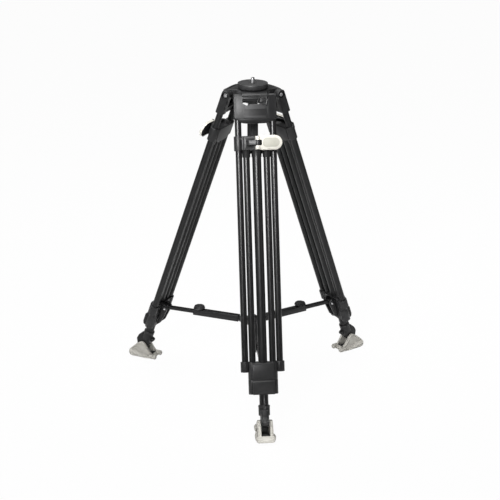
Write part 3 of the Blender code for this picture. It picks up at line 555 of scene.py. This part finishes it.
def shoulder_mesh():
    """Two round sockets and hinge ears, joined by a bowed front web with a window."""
    top = -7.6
    web = soft(bowed_slab((-51, 51), (0, 3.6), (top, 50.2)), 1.2, 3)
    joins, cuts = [], []
    for side in (-1, 1):
        ear = arc((0, 0), 12.2, 150, 296, 16)
        profile = ear + [(9.2, -9), (10.2, -6.6), (10.6, -3), (10.6, 48.6), (9, 50.4),
                         (-8.6, 50.4), (-10.5, 48.6), (-10.5, 12)]
        low, high = sorted((side * 33.6, side * 51.8))
        joins.append(soft(side_prism(profile, low, high), 2, 4))
        cuts.append(post(side * OUTER_X, 0, (36, 80), OUTER_R + SOCKET_GAP))
        cuts.append(barrel((side * 46.2, 0, 0), (side * 60, 0, 0), 8.4))
    cuts.append(axle(60, 0, 0, 4.2))
    joins.append(lip_shape(47))
    joins.append(soft(bowed_slab((-34, 34), (-1.1, 5), (top - 0.3, top + 4.4)), 1.8, 4))
    joins.append(soft(slab((-34, 34), (-5.5, 9.2), (37.5, 41.5)), 1, 2))
    for side in (-1, 1):
        gusset = [(side * 34.5, 24), (side * 34.5, 52), (side * 12, 52), (side * 22, 44)]
        joins.append(soft(front_prism(gusset, 2.2, 8.5), 0.9, 2))
        gusset = [(side * 34.5, 10), (side * 34.5, 30), (side * 27, 41), (side * 17, 41)]
        joins.append(soft(front_prism(gusset, -5, -1.5), 0.9, 2))
    window = rounded([(-31.5, -2.6), (31.5, -2.6), (31.5, 12), (26, 14.6), (-10, 14.6),
                      (-20, 18.4), (-31.5, 12.5)], [2, 2, 2, 3, 6, 6, 6])
    cuts.append(front_prism(window, 0, 30))
    cuts.append(bowed_slab((-27, 26.5), (-10, 1.1), (26.5, 43)))
    bar = soft(axle(34, 6.8, 4.6, 2.6), 0.2, 1)
    return carve("shoulder", web, joins=joins, cuts=cuts, late_joins=[bar])


def lip_shape(half):
    """The curved lower lip of the shoulder, which turns back under its front face."""
    columns, steps = 28, 7
    crease = 48.2
    rings = []
    for i in range(columns + 1):
        x = half * math.sin((i / columns - 0.5) * math.pi)
        drop = 2.3 + 10.6 * (1 - abs(x / half) ** 5)
        front = face_n(x) - 0.7
        ring = [(2.5, 41), (front, 41)]
        for step in range(steps + 1):
            angle = math.radians(90 * step / steps)
            ring.append((7.6 + (front - 7.6) * math.cos(angle), crease + drop * math.sin(angle)))
        ring.append((2.5, crease + drop))
        rings.append([leg_point(x, n, s) for n, s in ring])
    return loft(rings)


def loft(rings, tips=(None, None)):
    """A closed solid through rings of points of one count; its ends are flat, or meet in tips."""
    shape = bmesh.new()
    verts = [[shape.verts.new(point) for point in ring] for ring in rings]
    count = len(rings[0])
    for low, high in zip(verts, verts[1:]):
        for i in range(count):
            after = (i + 1) % count
            shape.faces.new((low[i], low[after], high[after], high[i]))
    for end, tip in zip((verts[0], verts[-1]), tips):
        if tip is None:
            shape.faces.new(end)
            continue
        point = shape.verts.new(tip)
        for i in range(count):
            shape.faces.new((end[i], end[(i + 1) % count], point))
    bmesh.ops.recalc_face_normals(shape, faces=shape.faces)
    return shape


def angle_tab_mesh():
    """Five-sided thumb plate of the leg-angle lock, with a raised border."""
    outline = rounded([(12, -4.8), (28.5, -4.8), (30.6, 6), (27.5, 19.5), (6, 12.5),
                       (5, 8.5)], [1.2, 1.5, 2, 2, 1.4, 1.4])
    plate = soft(front_prism(outline, 13.4, 17.2), 0.7, 3)
    inner = rounded([(13, -3.2), (27.2, -3.2), (29, 6), (26.4, 17.4), (7.8, 11.4),
                     (6.8, 8.6)], [1, 1.2, 1.6, 1.6, 1.2, 1.2])
    stem = slab((12, 26), (11, 13.6), (-1.5, 11.5))
    ridges = [soft(barrel((14.5, 16.3, s), (25.5, 16.3, s), 0.8, 12), 0.3, 1) for s in (1, 4.6, 8.2)]
    return carve("angle_tab", plate, joins=[stem], cuts=[front_prism(inner, 16.4, 30)],
                 late_joins=ridges, bevel=0.25)


def hinge_bolt_mesh():
    """Hinge pin with domed ends and a hexagon socket in each."""
    joins, cuts = [], []
    for side in (-1, 1):
        joins.append(soft(barrel((side * 44, 0, 0), (side * 49.4, 0, 0), 5.2), 1.2, 4))
        cuts.append(barrel((side * 48.2, 0, 0), (side * 60, 0, 0), 2.3, 6))
    return carve("hinge_bolt", axle(45, 0, 0, 4, ROUND), joins=joins, cuts=cuts, bevel=0.2)


# Tubes


def tube_mesh(name, radius, top, bottom):
    """An open tube down its own axis from station top to bottom."""
    inner = radius - WALL
    rim = 0.3
    profile = [(inner, -top), (radius - rim, -top), (radius, -top - rim),
               (radius, -bottom + rim), (radius - rim, -bottom), (inner, -bottom), (inner, -top)]
    return shade(mesh_from(turned(profile, ROUND), name))


# Collar and lever


def collar_mesh(pivot_x, pivot_n, pivot_s):
    """Clamp collar: lobes round both pairs of tubes, strap and fork post for the lever."""
    top, bottom, skirt = 91.5, 127, 143
    strap = (pivot_s - 6.5, pivot_s + 6.5)
    body = soft(slab((-36, 36), (-9.5, 14.5), (top + 0.6, bottom - 0.6)), 2, 3)
    joins, cuts = [], []
    for side in (-1, 1):
        outer, inner = side * OUTER_X, side * INNER_X
        joins.append(soft(post(outer, 0, (top, bottom), 11.3), 0.9, 3))
        joins.append(soft(post(inner, 5.2, (top + 0.3, bottom - 0.3), 12.6), 0.9, 3))
        joins.append(soft(post(inner, INNER_N, (bottom - 2, skirt), 10.2, end_radius=9.6), 0.7, 2))
        cuts.append(post(outer, 0, (0, 200), OUTER_R + SLIDE_GAP))
        cuts.append(post(inner, INNER_N, (103, 200), INNER_R + SLIDE_GAP))
    joins.append(soft(post(0, CENTRE_N, (top + 0.3, bottom - 0.3), 13.4), 0.9, 3))
    joins.append(soft(post(0, CENTRE_N - 1, (bottom - 2, skirt), 12.6, end_radius=12.2), 0.7, 2))
    bridge = rounded([(-40, top + 1), (-16, top + 0.2), (16, top + 0.2), (40, top + 1),
                      (40, 124), (24, 133.5), (-24, 133.5), (-40, 124)], [2, 3, 3, 2, 5, 9, 9, 5])
    joins.append(soft(front_prism(bridge, -12.4, -7), 1.4, 3))
    pad = rounded([(-31, top + 1), (25, top + 1), (25, bottom - 1), (-31, bottom - 1)], [3] * 4)
    joins.append(soft(front_prism(pad, 10, 20), 1.3, 3))
    strap_path = rounded([(-26, 12), (-26, 21.5), (-20, pivot_n + 1.2), (pivot_x, pivot_n + 4.6),
                          (pivot_x, pivot_n - 4), (-16, 21), (-16, 12)], [0, 5, 8, 0, 0, 3, 0])
    joins.append(soft(section_prism(strap_path, *strap), 0.7, 2))
    joins.append(soft(post(pivot_x, pivot_n, strap, 6.1), 0.6, 2))
    joins.append(soft(slab((pivot_x - 4.5, pivot_x + 2.5), (17, pivot_n - 2),
                           (strap[0] + 0.4, strap[1] - 0.4)), 0.8, 2))
    cuts.append(post(0, CENTRE_N, (100, 200), CENTRE_R + SLIDE_GAP))
    cuts.append(post(pivot_x, pivot_n, (0, 200), 2.75, SMALL_ROUND))
    pocket = rounded([(-31, -9.5), (31, -9.5), (31, 12), (12, 15), (-12, 15), (-31, 12)],
                     [4, 4, 6, 6, 6, 6])
    cuts.append(section_prism(pocket, top - 20, top + 8.5))
    stud_s = pivot_s - 11
    for x in (-37, 37):
        joins.append(soft(barrel((x, 9.5, stud_s), (x, 13, stud_s), 2.8, SMALL_ROUND), 0.5, 2))
    return carve("collar", body, joins=joins, cuts=cuts, bevel=0.4)


def lever_mesh(reach, half_height, slot_half):
    """The quick lever as a thick curved shell with a round end; its pivot is the origin."""
    columns, rows = 44, 28
    start = -5.6
    thickness, hollow_depth = 6.6, 3.6
    rings = []
    for i in range(columns + 1):
        x = start + (reach - start) * math.sin(i / columns * math.pi / 2)
        over = max(0, x - (reach - half_height))
        end = math.sqrt(max(0, half_height ** 2 - over ** 2))
        half = max(0.05, end * (1 - 0.10 * math.exp(-((x + 1) / 9) ** 2)))
        arch = 3.4 * math.sin(math.pi * min(1, (x - start) / (reach - start))) ** 0.9
        outer, inner = [], []
        for j in range(rows + 1):
            s = math.sin((j / rows - 0.5) * math.pi) * half
            n = 2.6 + arch - 4.2 * (s / half_height) ** 2
            rim = max(0, min(1, (half - abs(s)) / 1.6, (x - start) / 1.6 + 0.15))
            dip = 1.4 * (1 - math.sqrt(1 - (1 - rim) ** 2))
            hollow = max(0, min(1, half - abs(s) - 2.2, reach - 2.5 - x, x - 9))
            outer.append(leg_point(x, n - dip, s))
            inner.append(leg_point(x, n - thickness + hollow_depth * hollow, s))
        rings.append(outer + inner[::-1])
    shape = loft(rings)
    bmesh.ops.remove_doubles(shape, verts=shape.verts, dist=WELD)
    joins = [soft(post(0, 0, (-half_height + 2.2, half_height - 2.2), 5.9), 0.8, 3)]
    slot = soft(slab((-30, 9.4), (-30, 30), (-slot_half, slot_half)), 1.4, 3)
    cuts = [slot, post(0, 0, (-30, 30), 2.7, SMALL_ROUND),
            soft(front_prism(lever_oval(reach, 0), 3.6, 30), 0.5, 2)]
    return carve("lever", shape, joins=joins, cuts=cuts)


def lever_badge_mesh(reach):
    """The pale oval inlay in the lever's recess, left blank."""
    inlay = soft(front_prism(lever_oval(reach, 0.5), 2.6, 4.6), 0.5, 3)
    return shade(mesh_from(inlay, "lever_inlay"))


def lever_oval(reach, inset):
    """The outline of the lever's recess, or of the inlay that lies inset in it."""
    left, right, half = 12 + inset, reach - 6.4 - inset, 11 - inset
    return rounded([(left, -half), (right, -half), (right, half), (left, half)],
                   [half - 2.5, half - 0.1, half - 0.1, half - 2.5], 8)


def lever_shade_plate_mesh(reach, half_height):
    """A dark plate that fills the lever from behind, painting the shade inside its hollow."""
    outline = rounded([(9, -half_height + 3), (reach - 3, -half_height + 3),
                       (reach - 3, half_height - 3), (9, half_height - 3)],
                      [2, half_height - 3.1, half_height - 3.1, 2], 10)
    plate = soft(front_prism(outline, -5.4, -0.4), 1.6, 3)
    return shade(mesh_from(plate, "lever_shade_plate"))


def lever_pin_mesh(half_height):
    """The lever's pin, with a head at each end."""
    heads = []
    for side in (-1, 1):
        ends = (side * (half_height - 2.6), side * (half_height - 1.4))
        heads.append(soft(post(0, 0, ends, 3.4, SMALL_ROUND), 0.5, 3))
    pin = post(0, 0, (-half_height + 2, half_height - 2), 2.5, SMALL_ROUND)
    return carve("lever_pin", pin, joins=heads, bevel=0.15)


# Lower casting, end block


def tube_housings(top, bottom, radius):
    """Round housings of the two inner tubes between two stations."""
    return [soft(post(x, INNER_N, (top, bottom), radius), 0.5, 2) for x in (-INNER_X, INNER_X)]


def tube_bores(inner_end):
    """Bores for the centre tube, right through, and the inner tubes down to a station."""
    cuts = [post(0, CENTRE_N, (600, 800), CENTRE_R + SLIDE_GAP)]
    for x in (-INNER_X, INNER_X):
        cuts.append(post(x, INNER_N, (600, inner_end), INNER_R + SLIDE_GAP))
    return cuts


def lower_casting_mesh(pin_n, pin_s):
    """Ears on the outer tubes, a panelled block round the inner ones, spreader bracket."""
    top, bottom = 641, 684.2
    panel_side = [(-8.6, top + 0.4), (13, top), (18.6, top + 3.4), (20.4, top + 8),
                  (20.4, bottom), (-8.6, bottom)]
    body = soft(side_prism(panel_side, -26.5, 26.5), 0.7, 3)
    joins = tube_housings(top, bottom, 11.4)
    cuts = tube_bores(800)
    for side in (-1, 1):
        outer = side * OUTER_X
        joins.append(soft(post(outer, 0, (top - 0.5, 666), 11.4), 1, 3))
        joins.append(soft(slab(sorted((side * 30, side * 40)), (-8.5, 8.5), (top + 1, 664.5)), 1.4, 3))
        cuts.append(post(outer, 0, (600, 663), OUTER_R + SOCKET_GAP))
    root = -6
    reach = pin_n - 7
    bracket = rounded([(root, top + 1.5), (pin_n + 2, top + 0.5), (reach, top + 6),
                       (reach, pin_s + 6), (pin_n - 1.5, 697), (-10.6, 711.5), (-9.6, bottom - 1),
                       (root, bottom - 2)], [0, 3, 4, 4, 8, 2, 0, 0])
    for side in (-1, 1):
        low, high = sorted((side * 9.4, side * 14.6))
        joins.append(soft(side_prism(bracket, low, high), 1.2, 3))
        joins.append(soft(barrel((side * 14, pin_n, pin_s), (side * 15.6, pin_n, pin_s), 5.4,
                                 SMALL_ROUND), 0.5, 2))
    joins.append(soft(slab((-14, 14), (-12.5, -7), (top + 12, bottom - 4)), 1.5, 2))
    cuts.append(slab((-9.1, 9.1), (pin_n - 9, -9.4), (top - 5, pin_s + 9)))
    return carve("lower_casting", body, joins=joins, cuts=cuts)


def spreader_pin_mesh(pin_n, pin_s):
    """Bright cross pin of the spreader bracket."""
    return shade(mesh_from(soft(axle(17.2, pin_n, pin_s, 3.5), 0.8, 3), "spreader_pin"))


def end_block_mesh():
    """The end of the middle stage: a prouder panelled block with rounded corners."""
    top, bottom = 684.5, 720
    panel_side = [(-8.6, top), (20.6, top), (25, top + 3.6), (25, bottom - 9),
                  (22.4, bottom - 2), (19.5, bottom), (-4, bottom), (-8.6, bottom - 5)]
    panel = soft(side_prism(panel_side, -26.5, 26.5), 0.9, 3)
    lip = soft(post(0, CENTRE_N, (bottom - 3, bottom + 0.6), 13.4), 0.6, 2)
    joins = tube_housings(top, bottom - 0.4, 11.5) + [lip]
    return carve("end_block", panel, joins=joins, cuts=tube_bores(716))


# Ankle and foot


def ankle_mesh(pivot_n, pivot_s):
    """Ferrule with a ring, tongue with a stop fin, and the foot's trunnion."""
    ferrule = soft(post(0, CENTRE_N, (746.5, 772), 14), 1.1, 3)
    ring = soft(post(0, CENTRE_N, (748.5, 751.5), 14.4), 0.4, 2)
    fin = rounded([(-5.8, 765), (13, 755), (21.5, 757), (32, 776), (32.5, 785), (27, 796),
                   (18, 799.8), (8, 799.8), (-1, 795), (-5.8, 785)], [3, 5, 6, 6, 5, 6, 5, 5, 5, 3])
    tongue = soft(side_prism(fin, -9.5, 9.5), 1.6, 3)
    ridge = rounded([(15, 757), (23, 758), (32, 773), (34.4, 786), (27, 798), (18, 790)],
                    [2, 4, 5, 5, 4, 2])
    crest = soft(side_prism(ridge, -6.2, 6.2), 1.2, 2)
    knuckle = soft(axle(9.9, pivot_n, pivot_s, 9.4, ROUND), 1, 2)
    trunnion = soft(axle(14.5, pivot_n, pivot_s, 3), 0.4, 2)
    heel = rounded([(-14.5, 764), (1, 761.5), (1, 775), (-14.5, 773.5)], [4.2, 0, 0, 4.2])
    bumper = soft(side_prism(heel, -5.8, 5.8), 1.2, 3)
    socket = post(0, CENTRE_N, (700, 765.8), CENTRE_R + SLIDE_GAP)
    return carve("ankle", ferrule, joins=[ring, tongue, crest, knuckle, bumper, trunnion],
                 cuts=[socket])


def foot_mesh(floor):
    """The hoof: two cheeks with a raised rim and a swept flank, sole, and heel pegs.

    Its pivot is the origin; n runs outward, z up, and floor is the floor's z in mm.
    """
    slot = 10.9
    outline = smooth_outline([
        (-34, floor + 0.6), (29, floor + 0.6), (38.5, floor + 3.5), (42, floor + 10.5),
        (39.6, floor + 18), (31.5, floor + 26), (18.5, floor + 36.5), (9, floor + 43.6),
        (1, floor + 46.9), (-6, floor + 44.8), (-12, floor + 37), (-22, floor + 21.5),
        (-32.5, floor + 10.5), (-37, floor + 5)], 4)
    centre = Vector((6, floor + 17))

    def flank(n, z, depth):
        height = z - floor
        crease = 5 + 14 * smoothstep(-20, 36, n)
        rim = 1 - smoothstep(2.4, 4.6, depth)
        panel = 16.8 + 2.3 * rim
        lower = 25.4 - 6.5 * (max(0, 12 - height) / 12) ** 2.2
        side = panel + (lower - panel) * smoothstep(crease + 4, crease - 3, height)
        heel = smoothstep(-36, -12, n)
        side = 15.6 + (side - 15.6) * (0.25 + 0.75 * heel)
        toe = max(0, 1 - (max(0, n - 24) / 19) ** 2) ** 0.4
        side = 9.5 + (side - 9.5) * toe
        return side - 2.4 * (1 - smoothstep(0, 2.4, depth)) ** 2

    def skin(point, sign, depth):
        x = flank(point.x, point.y, depth)
        return Vector((sign * x, -point.x, point.y)) * MM

    steps = 26
    sides = []
    for sign in (-1, 1):
        rings = []
        for step in range(steps):
            shrink = 0.93 * (step / steps) ** 1.45
            ring = []
            for corner in map(Vector, outline):
                point = corner.lerp(centre, shrink)
                ring.append(skin(point, sign, (corner - point).length))
            rings.append(ring)
        sides.append(rings)
    shape = loft(sides[0][::-1] + sides[1], [skin(centre, sign, 20) for sign in (-1, 1)])
    joins = [soft(barrel((x, -22, -(floor + 8.2)), (x, -43.5, -(floor + 7.8)), 6.7), 3.4, 6)
             for x in (-16, 16)]
    gap = smooth_outline([(-60, floor + 13), (-30, floor + 13), (-20, floor + 10),
                          (-8, floor + 6.6), (12, floor + 9.6), (27, floor + 15.4),
                          (33, floor + 21), (44, floor + 23), (60, floor + 70), (-60, floor + 70)], 3)
    cuts = [side_prism([(n, -z) for n, z in gap], -slot, slot), axle(15, 0, 0, 3.3)]
    return carve("foot", shape, joins=joins, cuts=cuts)


def foot_pad_mesh(floor):
    """Black bumper on the floor of the foot's slot."""
    outline = smooth_outline([(-28, floor + 9), (-8, floor + 4.6), (12, floor + 7.6),
                              (27, floor + 13), (30.5, floor + 17), (31.5, floor + 19.5),
                              (28.5, floor + 21), (22, floor + 18), (8, floor + 12.6),
                              (-8, floor + 9.6), (-28, floor + 14.5)], 3)
    pad = soft(side_prism([(n, -z) for n, z in outline], -10.6, 10.6), 0.6, 2)
    return shade(mesh_from(pad, "foot_pad"))


# Spreader


def bar_eye():
    """The round eye at the end of an arm or a rod, and the hole for its pin."""
    return soft(axle(5.9, 0, 0, 6.3, ROUND), 0.7, 2), axle(20, 0, 0, 3.3)


def spreader_arm_mesh(end, knob_at, half, half_depth):
    """A channel open underneath; -Y runs along it from its pivot."""
    channel = soft(slab((-half, half), (9, end), (-half_depth, half_depth)), 1.5, 3)
    hollow = slab((-half + 1.9, half - 1.9), (14.5, end + 20), (-half_depth + 1.9, 60))
    neck = soft(slab((-5.9, 5.9), (0, 14), (-4.8, 4.8)), 1, 2)
    boss = soft(post(0, knob_at, (-half_depth + 1, -half_depth - 0.5), 7.2), 0.6, 2)
    eye, pin = bar_eye()
    return carve("spreader_arm", channel, joins=[neck, eye, boss], cuts=[hollow, pin], bevel=0.4)


def knob_mesh(radius, height):
    """Eight-lobed clamp knob with a domed cap; Z is its axis, its seat is the origin."""
    body = cone((radius * 0.86, radius), 2.4, (0, 0, 1.5), 8)
    upper = cone((radius, radius * 0.80), height - 2.7, (0, 0, (height + 2.69) / 2), 8)
    cap = cone((6.4, 5.4), 2, (0, 0, height), 32)
    grooves = [cone((2.4, 2.4), 30, ring_place(radius + 0.9, index / 8), 20) for index in range(8)]
    return carve("spreader_knob", body, joins=[soft(upper, 0.8, 3)], cuts=grooves,
                 late_joins=[soft(cap, 0.5, 3)], bevel=0.6)


def rod_mesh(length, half, half_depth):
    """Inner bar of an arm with its eye at the origin; +Y runs inward."""
    bar = soft(slab((-half, half), (-length, 0), (-half_depth, half_depth)), 1, 3)
    groove = slab((-1.6, 1.6), (-length + 8, -14), (-30, -half_depth + 0.7))
    eye, pin = bar_eye()
    return carve("spreader_rod", bar, joins=[eye], cuts=[pin, groove], bevel=0.3)


def hub_mesh(pivot_r):
    """Centre of the spreader: a disc with a cap and three forks; Z is its axis."""
    profile = [(0, 15.5), (7.5, 15.5), (9.6, 14.6), (10.8, 12.6), (11.2, 9), (17, 8.2),
               (18.6, 6.8), (19, 5), (19, -5.5), (18.2, -7.4), (16.5, -8), (0, -8)]
    joins, cuts, late = [], [], []
    for spin in THIRDS:
        tip = arc((pivot_r, 0), 6.3, -90, 90, 10)
        fork = soft(side_prism([(8, -6.3)] + tip + [(8, 6.3)], -10.6, 10.6), 0.9, 2)
        gap = slab((-6.3, 6.3), (21.5, 60), (-20, 20))
        pin = soft(axle(11.6, pivot_r, 0, 3), 0.4, 2)
        for shape, group in ((fork, joins), (gap, cuts), (pin, late)):
            shape.transform(spin)
            group.append(shape)
    return carve("spreader_hub", turned(profile, 96), joins=joins, cuts=cuts,
                 late_joins=late, bevel=0.4)


# Placing


def basis(origin, x_axis, z_axis):
    """A place with its own X and Z directions."""
    x, z = Vector(x_axis).normalized(), Vector(z_axis).normalized()
    matrix = Matrix((x, z.cross(x), z)).transposed().to_4x4()
    matrix.translation = Vector(origin)
    return matrix


def joint_place(name):
    """Where a joint stands in the world."""
    return Vector(JOINTS[name]["pos_m"])


def upright(x, y, z=0):
    """A place that keeps the world's directions."""
    return Matrix.Translation((x, y, z))


def leg_frame(label):
    """The leg's own frame: X across it, -Y outward, -Z down it from the hinge."""
    down = Vector(JOINTS[f"{label}_middle_extend"]["axis"]).normalized()
    outward = Vector((down.x, down.y, 0)).normalized()
    return basis(joint_place(f"{label}_leg_fold"), outward.cross(down), -down)


def add(node, mesh, material, place, extra=None):
    """A detailed piece that stands for a CAD node, or an extra one that rides along with it."""
    name = f"{node}_{extra}" if extra else f"{node}_visual"
    obj = new_object(name, mesh.copy())
    obj.data.materials.clear()
    obj.data.materials.append(material)
    obj.matrix_world = place
    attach(obj, BODY[node])
    if extra is None:
        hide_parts(node)
    return obj


def build_head():
    """The crown, its plate and screw, and the handle below."""
    centre = joint_place("tie_down_turn")
    axis = upright(centre.x, centre.y)
    low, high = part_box("head_plate")
    plate = head_plate_mesh(high.z / MM, (high.x - low.x) / 2 / MM)
    add("head_plate", plate, PLATE, axis)
    low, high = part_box("head_screw")
    stud = thread_mesh("head_screw", low.z / MM, high.z / MM, SCREW_R, SCREW_PITCH, SCREW_DEPTH)
    add("head_screw", stud, STEEL, axis)
    hinge = joint_place("front_leg_fold")
    low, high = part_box("crown")
    hinge_r = (centre - hinge).xy.length / MM
    add("crown", crown_mesh(hinge_r, hinge.z / MM, high.z / MM), CAST, axis)
    handle_top = low.z / MM - 6
    handle_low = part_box("tie_down_handle")[0].z / MM
    add("tie_down_handle", handle_mesh(handle_top, handle_top - handle_low), GRIP, axis)


def build_leg(label, meshes):
    """One leg from its shoulder to its foot."""
    leg = leg_frame(label)
    for piece in ("shoulder", "angle_tab", "collar", "lower_casting", "end_block", "ankle"):
        add(f"{label}_{piece}", meshes[piece], CAST, leg)
    add(f"{label}_hinge_bolt", meshes["hinge_bolt"], STEEL, leg)
    add(f"{label}_lower_casting", meshes["spreader_pin"], STEEL, leg, "pin")
    for side, sign in (("left", -1), ("right", 1)):
        for tube, x, n in (("outer_tube", OUTER_X, 0), ("inner_tube", INNER_X, INNER_N)):
            axis = leg @ Matrix.Translation(leg_point(sign * x, n, 0))
            add(f"{label}_{tube}_{side}", meshes[tube], TUBE, axis)
    axis = leg @ Matrix.Translation(leg_point(0, CENTRE_N, 0))
    add(f"{label}_centre_tube", meshes["centre_tube"], TUBE, axis)
    pivot = leg.copy()
    pivot.translation = joint_place(f"{label}_quick_lever_open")
    add(f"{label}_lever", meshes["lever"], CREAM, pivot)
    add(f"{label}_lever", meshes["lever_inlay"], INLAY, pivot, "inlay")
    # A dark plate paints the shade inside the lever's hollow.
    add(f"{label}_lever", meshes["lever_shade_plate"], GRIP, pivot, "shade_plate")
    add(f"{label}_lever_pin", meshes["lever_pin"], STEEL, pivot)
    foot = basis(joint_place(f"{label}_foot_tilt"), leg.to_3x3().col[0], (0, 0, 1))
    add(f"{label}_foot", meshes["foot"], SHOE, foot)
    add(f"{label}_foot", meshes["foot_pad"], GRIP, foot, "pad")


def build_spreader(meshes):
    """The hub with its three arms, rods and knobs."""
    centre = joint_place("tie_down_turn")
    hub_z = joint_place("front_arm_swing").z
    add("spreader_hub", meshes["hub"], CAST, upright(centre.x, centre.y, hub_z))
    for label in LEGS:
        inner, outer = joint_place(f"{label}_arm_swing"), joint_place(f"{label}_rod_swing")
        across = leg_frame(label).to_3x3().col[0]
        up = across.cross(inner - outer).normalized()
        add(f"{label}_spreader_arm", meshes["arm"], BAR, basis(inner, across, up))
        add(f"{label}_spreader_rod", meshes["rod"], BAR, basis(outer, across, up))
        knob_at = joint_place(f"{label}_knob_turn") + up * (ARM_HALF_DEPTH + KNOB_GAP) * MM
        add(f"{label}_spreader_knob", meshes["knob"], GRIP, basis(knob_at, across, up))


def build_object():
    """Makes each mesh once, and places it on every leg."""
    to_leg = leg_frame("front").inverted()

    def station(name):
        """A joint's place in the front leg's frame, as x, n and s in millimetres."""
        point = to_leg @ joint_place(name) / MM
        return point.x, -point.y, -point.z

    lever = station("front_quick_lever_open")
    foot = station("front_foot_tilt")
    rod = station("front_rod_swing")
    knob_along = (joint_place("front_knob_turn") - joint_place("front_arm_swing")).length / MM
    floor = -joint_place("front_foot_tilt").z / MM
    lever_reach = LEVER_TIP_X - lever[0]
    meshes = {
        "shoulder": shoulder_mesh(),
        "angle_tab": angle_tab_mesh(),
        "hinge_bolt": hinge_bolt_mesh(),
        "outer_tube": tube_mesh("outer_tube", OUTER_R, *OUTER_ENDS),
        "inner_tube": tube_mesh("inner_tube", INNER_R, *INNER_ENDS),
        "centre_tube": tube_mesh("centre_tube", CENTRE_R, *CENTRE_ENDS),
        "collar": collar_mesh(*lever),
        "lever": lever_mesh(lever_reach, LEVER_HALF, LEVER_SLOT_HALF),
        "lever_inlay": lever_badge_mesh(lever_reach),
        # A dark plate that paints the shade inside the lever's hollow.
        "lever_shade_plate": lever_shade_plate_mesh(lever_reach, LEVER_HALF),
        "lever_pin": lever_pin_mesh(LEVER_HALF),
        "lower_casting": lower_casting_mesh(*rod[1:]),
        "end_block": end_block_mesh(),
        "ankle": ankle_mesh(*foot[1:]),
        "foot": foot_mesh(floor),
        "foot_pad": foot_pad_mesh(floor),
        "spreader_pin": spreader_pin_mesh(*rod[1:]),
        "hub": hub_mesh(HUB_PIVOT_R),
        "arm": spreader_arm_mesh(ARM_LENGTH, knob_along, ARM_HALF, ARM_HALF_DEPTH),
        "rod": rod_mesh(ROD_LENGTH, ROD_HALF, ROD_HALF_DEPTH),
        "knob": knob_mesh(KNOB_R, KNOB_HEIGHT),
    }
    build_head()
    for label in LEGS:
        build_leg(label, meshes)
    build_spreader(meshes)


# Room


def stand_on_feet(floor):
    """Keeps the floor under the lowest foot, also when the legs are drawn out or folded."""
    floor.location.z = -joint_place("front_foot_tilt").z - FLOOR_GAP
    lowest = floor.driver_add("delta_location", 2).driver
    lowest.type = "MIN"
    for label in LEGS:
        height = lowest.variables.new()
        height.name = label
        height.type = "TRANSFORMS"
        height.targets[0].id = bpy.data.objects[f"{label}_foot_visual"]
        height.targets[0].transform_type = "LOC_Z"
        height.targets[0].transform_space = "WORLD_SPACE"


def camera_share(tree, others, camera):
    """One value for what the camera sees directly, and another for all other light."""
    path = new_node(tree, "LightPath", {})
    return remap(tree, path.outputs["Is Camera Ray"], others, camera)


def build_floor():
    """A pale floor that the camera sees almost white, and that bounces light like paper."""
    mesh = bpy.data.meshes.new("floor")
    half = FLOOR_SIZE / 2
    mesh.from_pydata([(-half, -half, 0), (half, -half, 0), (half, half, 0), (-half, half, 0)],
                     [], [(0, 1, 2, 3)])
    floor = new_object("floor", mesh)
    stand_on_feet(floor)
    material, tree, shader = node_material("pale_floor")
    feed(tree, shader, {"Base Color": (0.9, 0.9, 0.9, 1), "Roughness": 0.9})
    glow = new_node(tree, "Emission", {})
    mix = new_node(tree, "MixShader", {0: camera_share(tree, 0, FLOOR_GLOW),
                                       1: shader.outputs[0], 2: glow.outputs[0]})
    feed(tree, tree.nodes["Material Output"], {"Surface": mix.outputs[0]})
    mesh.materials.append(material)


def build_world():
    """A white background for the camera, and a dim one for everything else."""
    world = bpy.data.worlds.new("studio")
    world.use_nodes = True
    tree = world.node_tree
    feed(tree, tree.nodes["Background"], {"Color": (1, 1, 1, 1),
                                          "Strength": camera_share(tree, WORLD_LIGHT, 1)})
    bpy.context.scene.world = world


def build_lamps():
    """Soft boxes that the camera does not see."""
    for name, place, size, power, target, beam in LIGHTS:
        data = bpy.data.lights.new(name, "AREA")
        data.shape = "RECTANGLE"
        data.size, data.size_y = size
        data.energy = power
        data.spread = math.radians(beam)
        lamp = new_object(name, data)
        lamp.location = place
        lamp.visible_camera = False
        aim = Vector(target) - Vector(place)
        lamp.rotation_euler = aim.to_track_quat("-Z", "Y").to_euler()


def build_camera():
    """The camera in front of the front leg, a little above the head."""
    data = bpy.data.cameras.new("camera")
    data.angle = CAMERA_ANGLE
    camera = new_object("camera", data)
    camera.location = CAMERA_PLACE
    camera.rotation_euler = (math.pi / 2 - CAMERA_PITCH, 0, -CAMERA_HEADING)
    bpy.context.scene.camera = camera
    bpy.context.scene.view_settings.view_transform = "Standard"


dress_frame()
build_object()
build_floor()
build_world()
build_lamps()
build_camera()
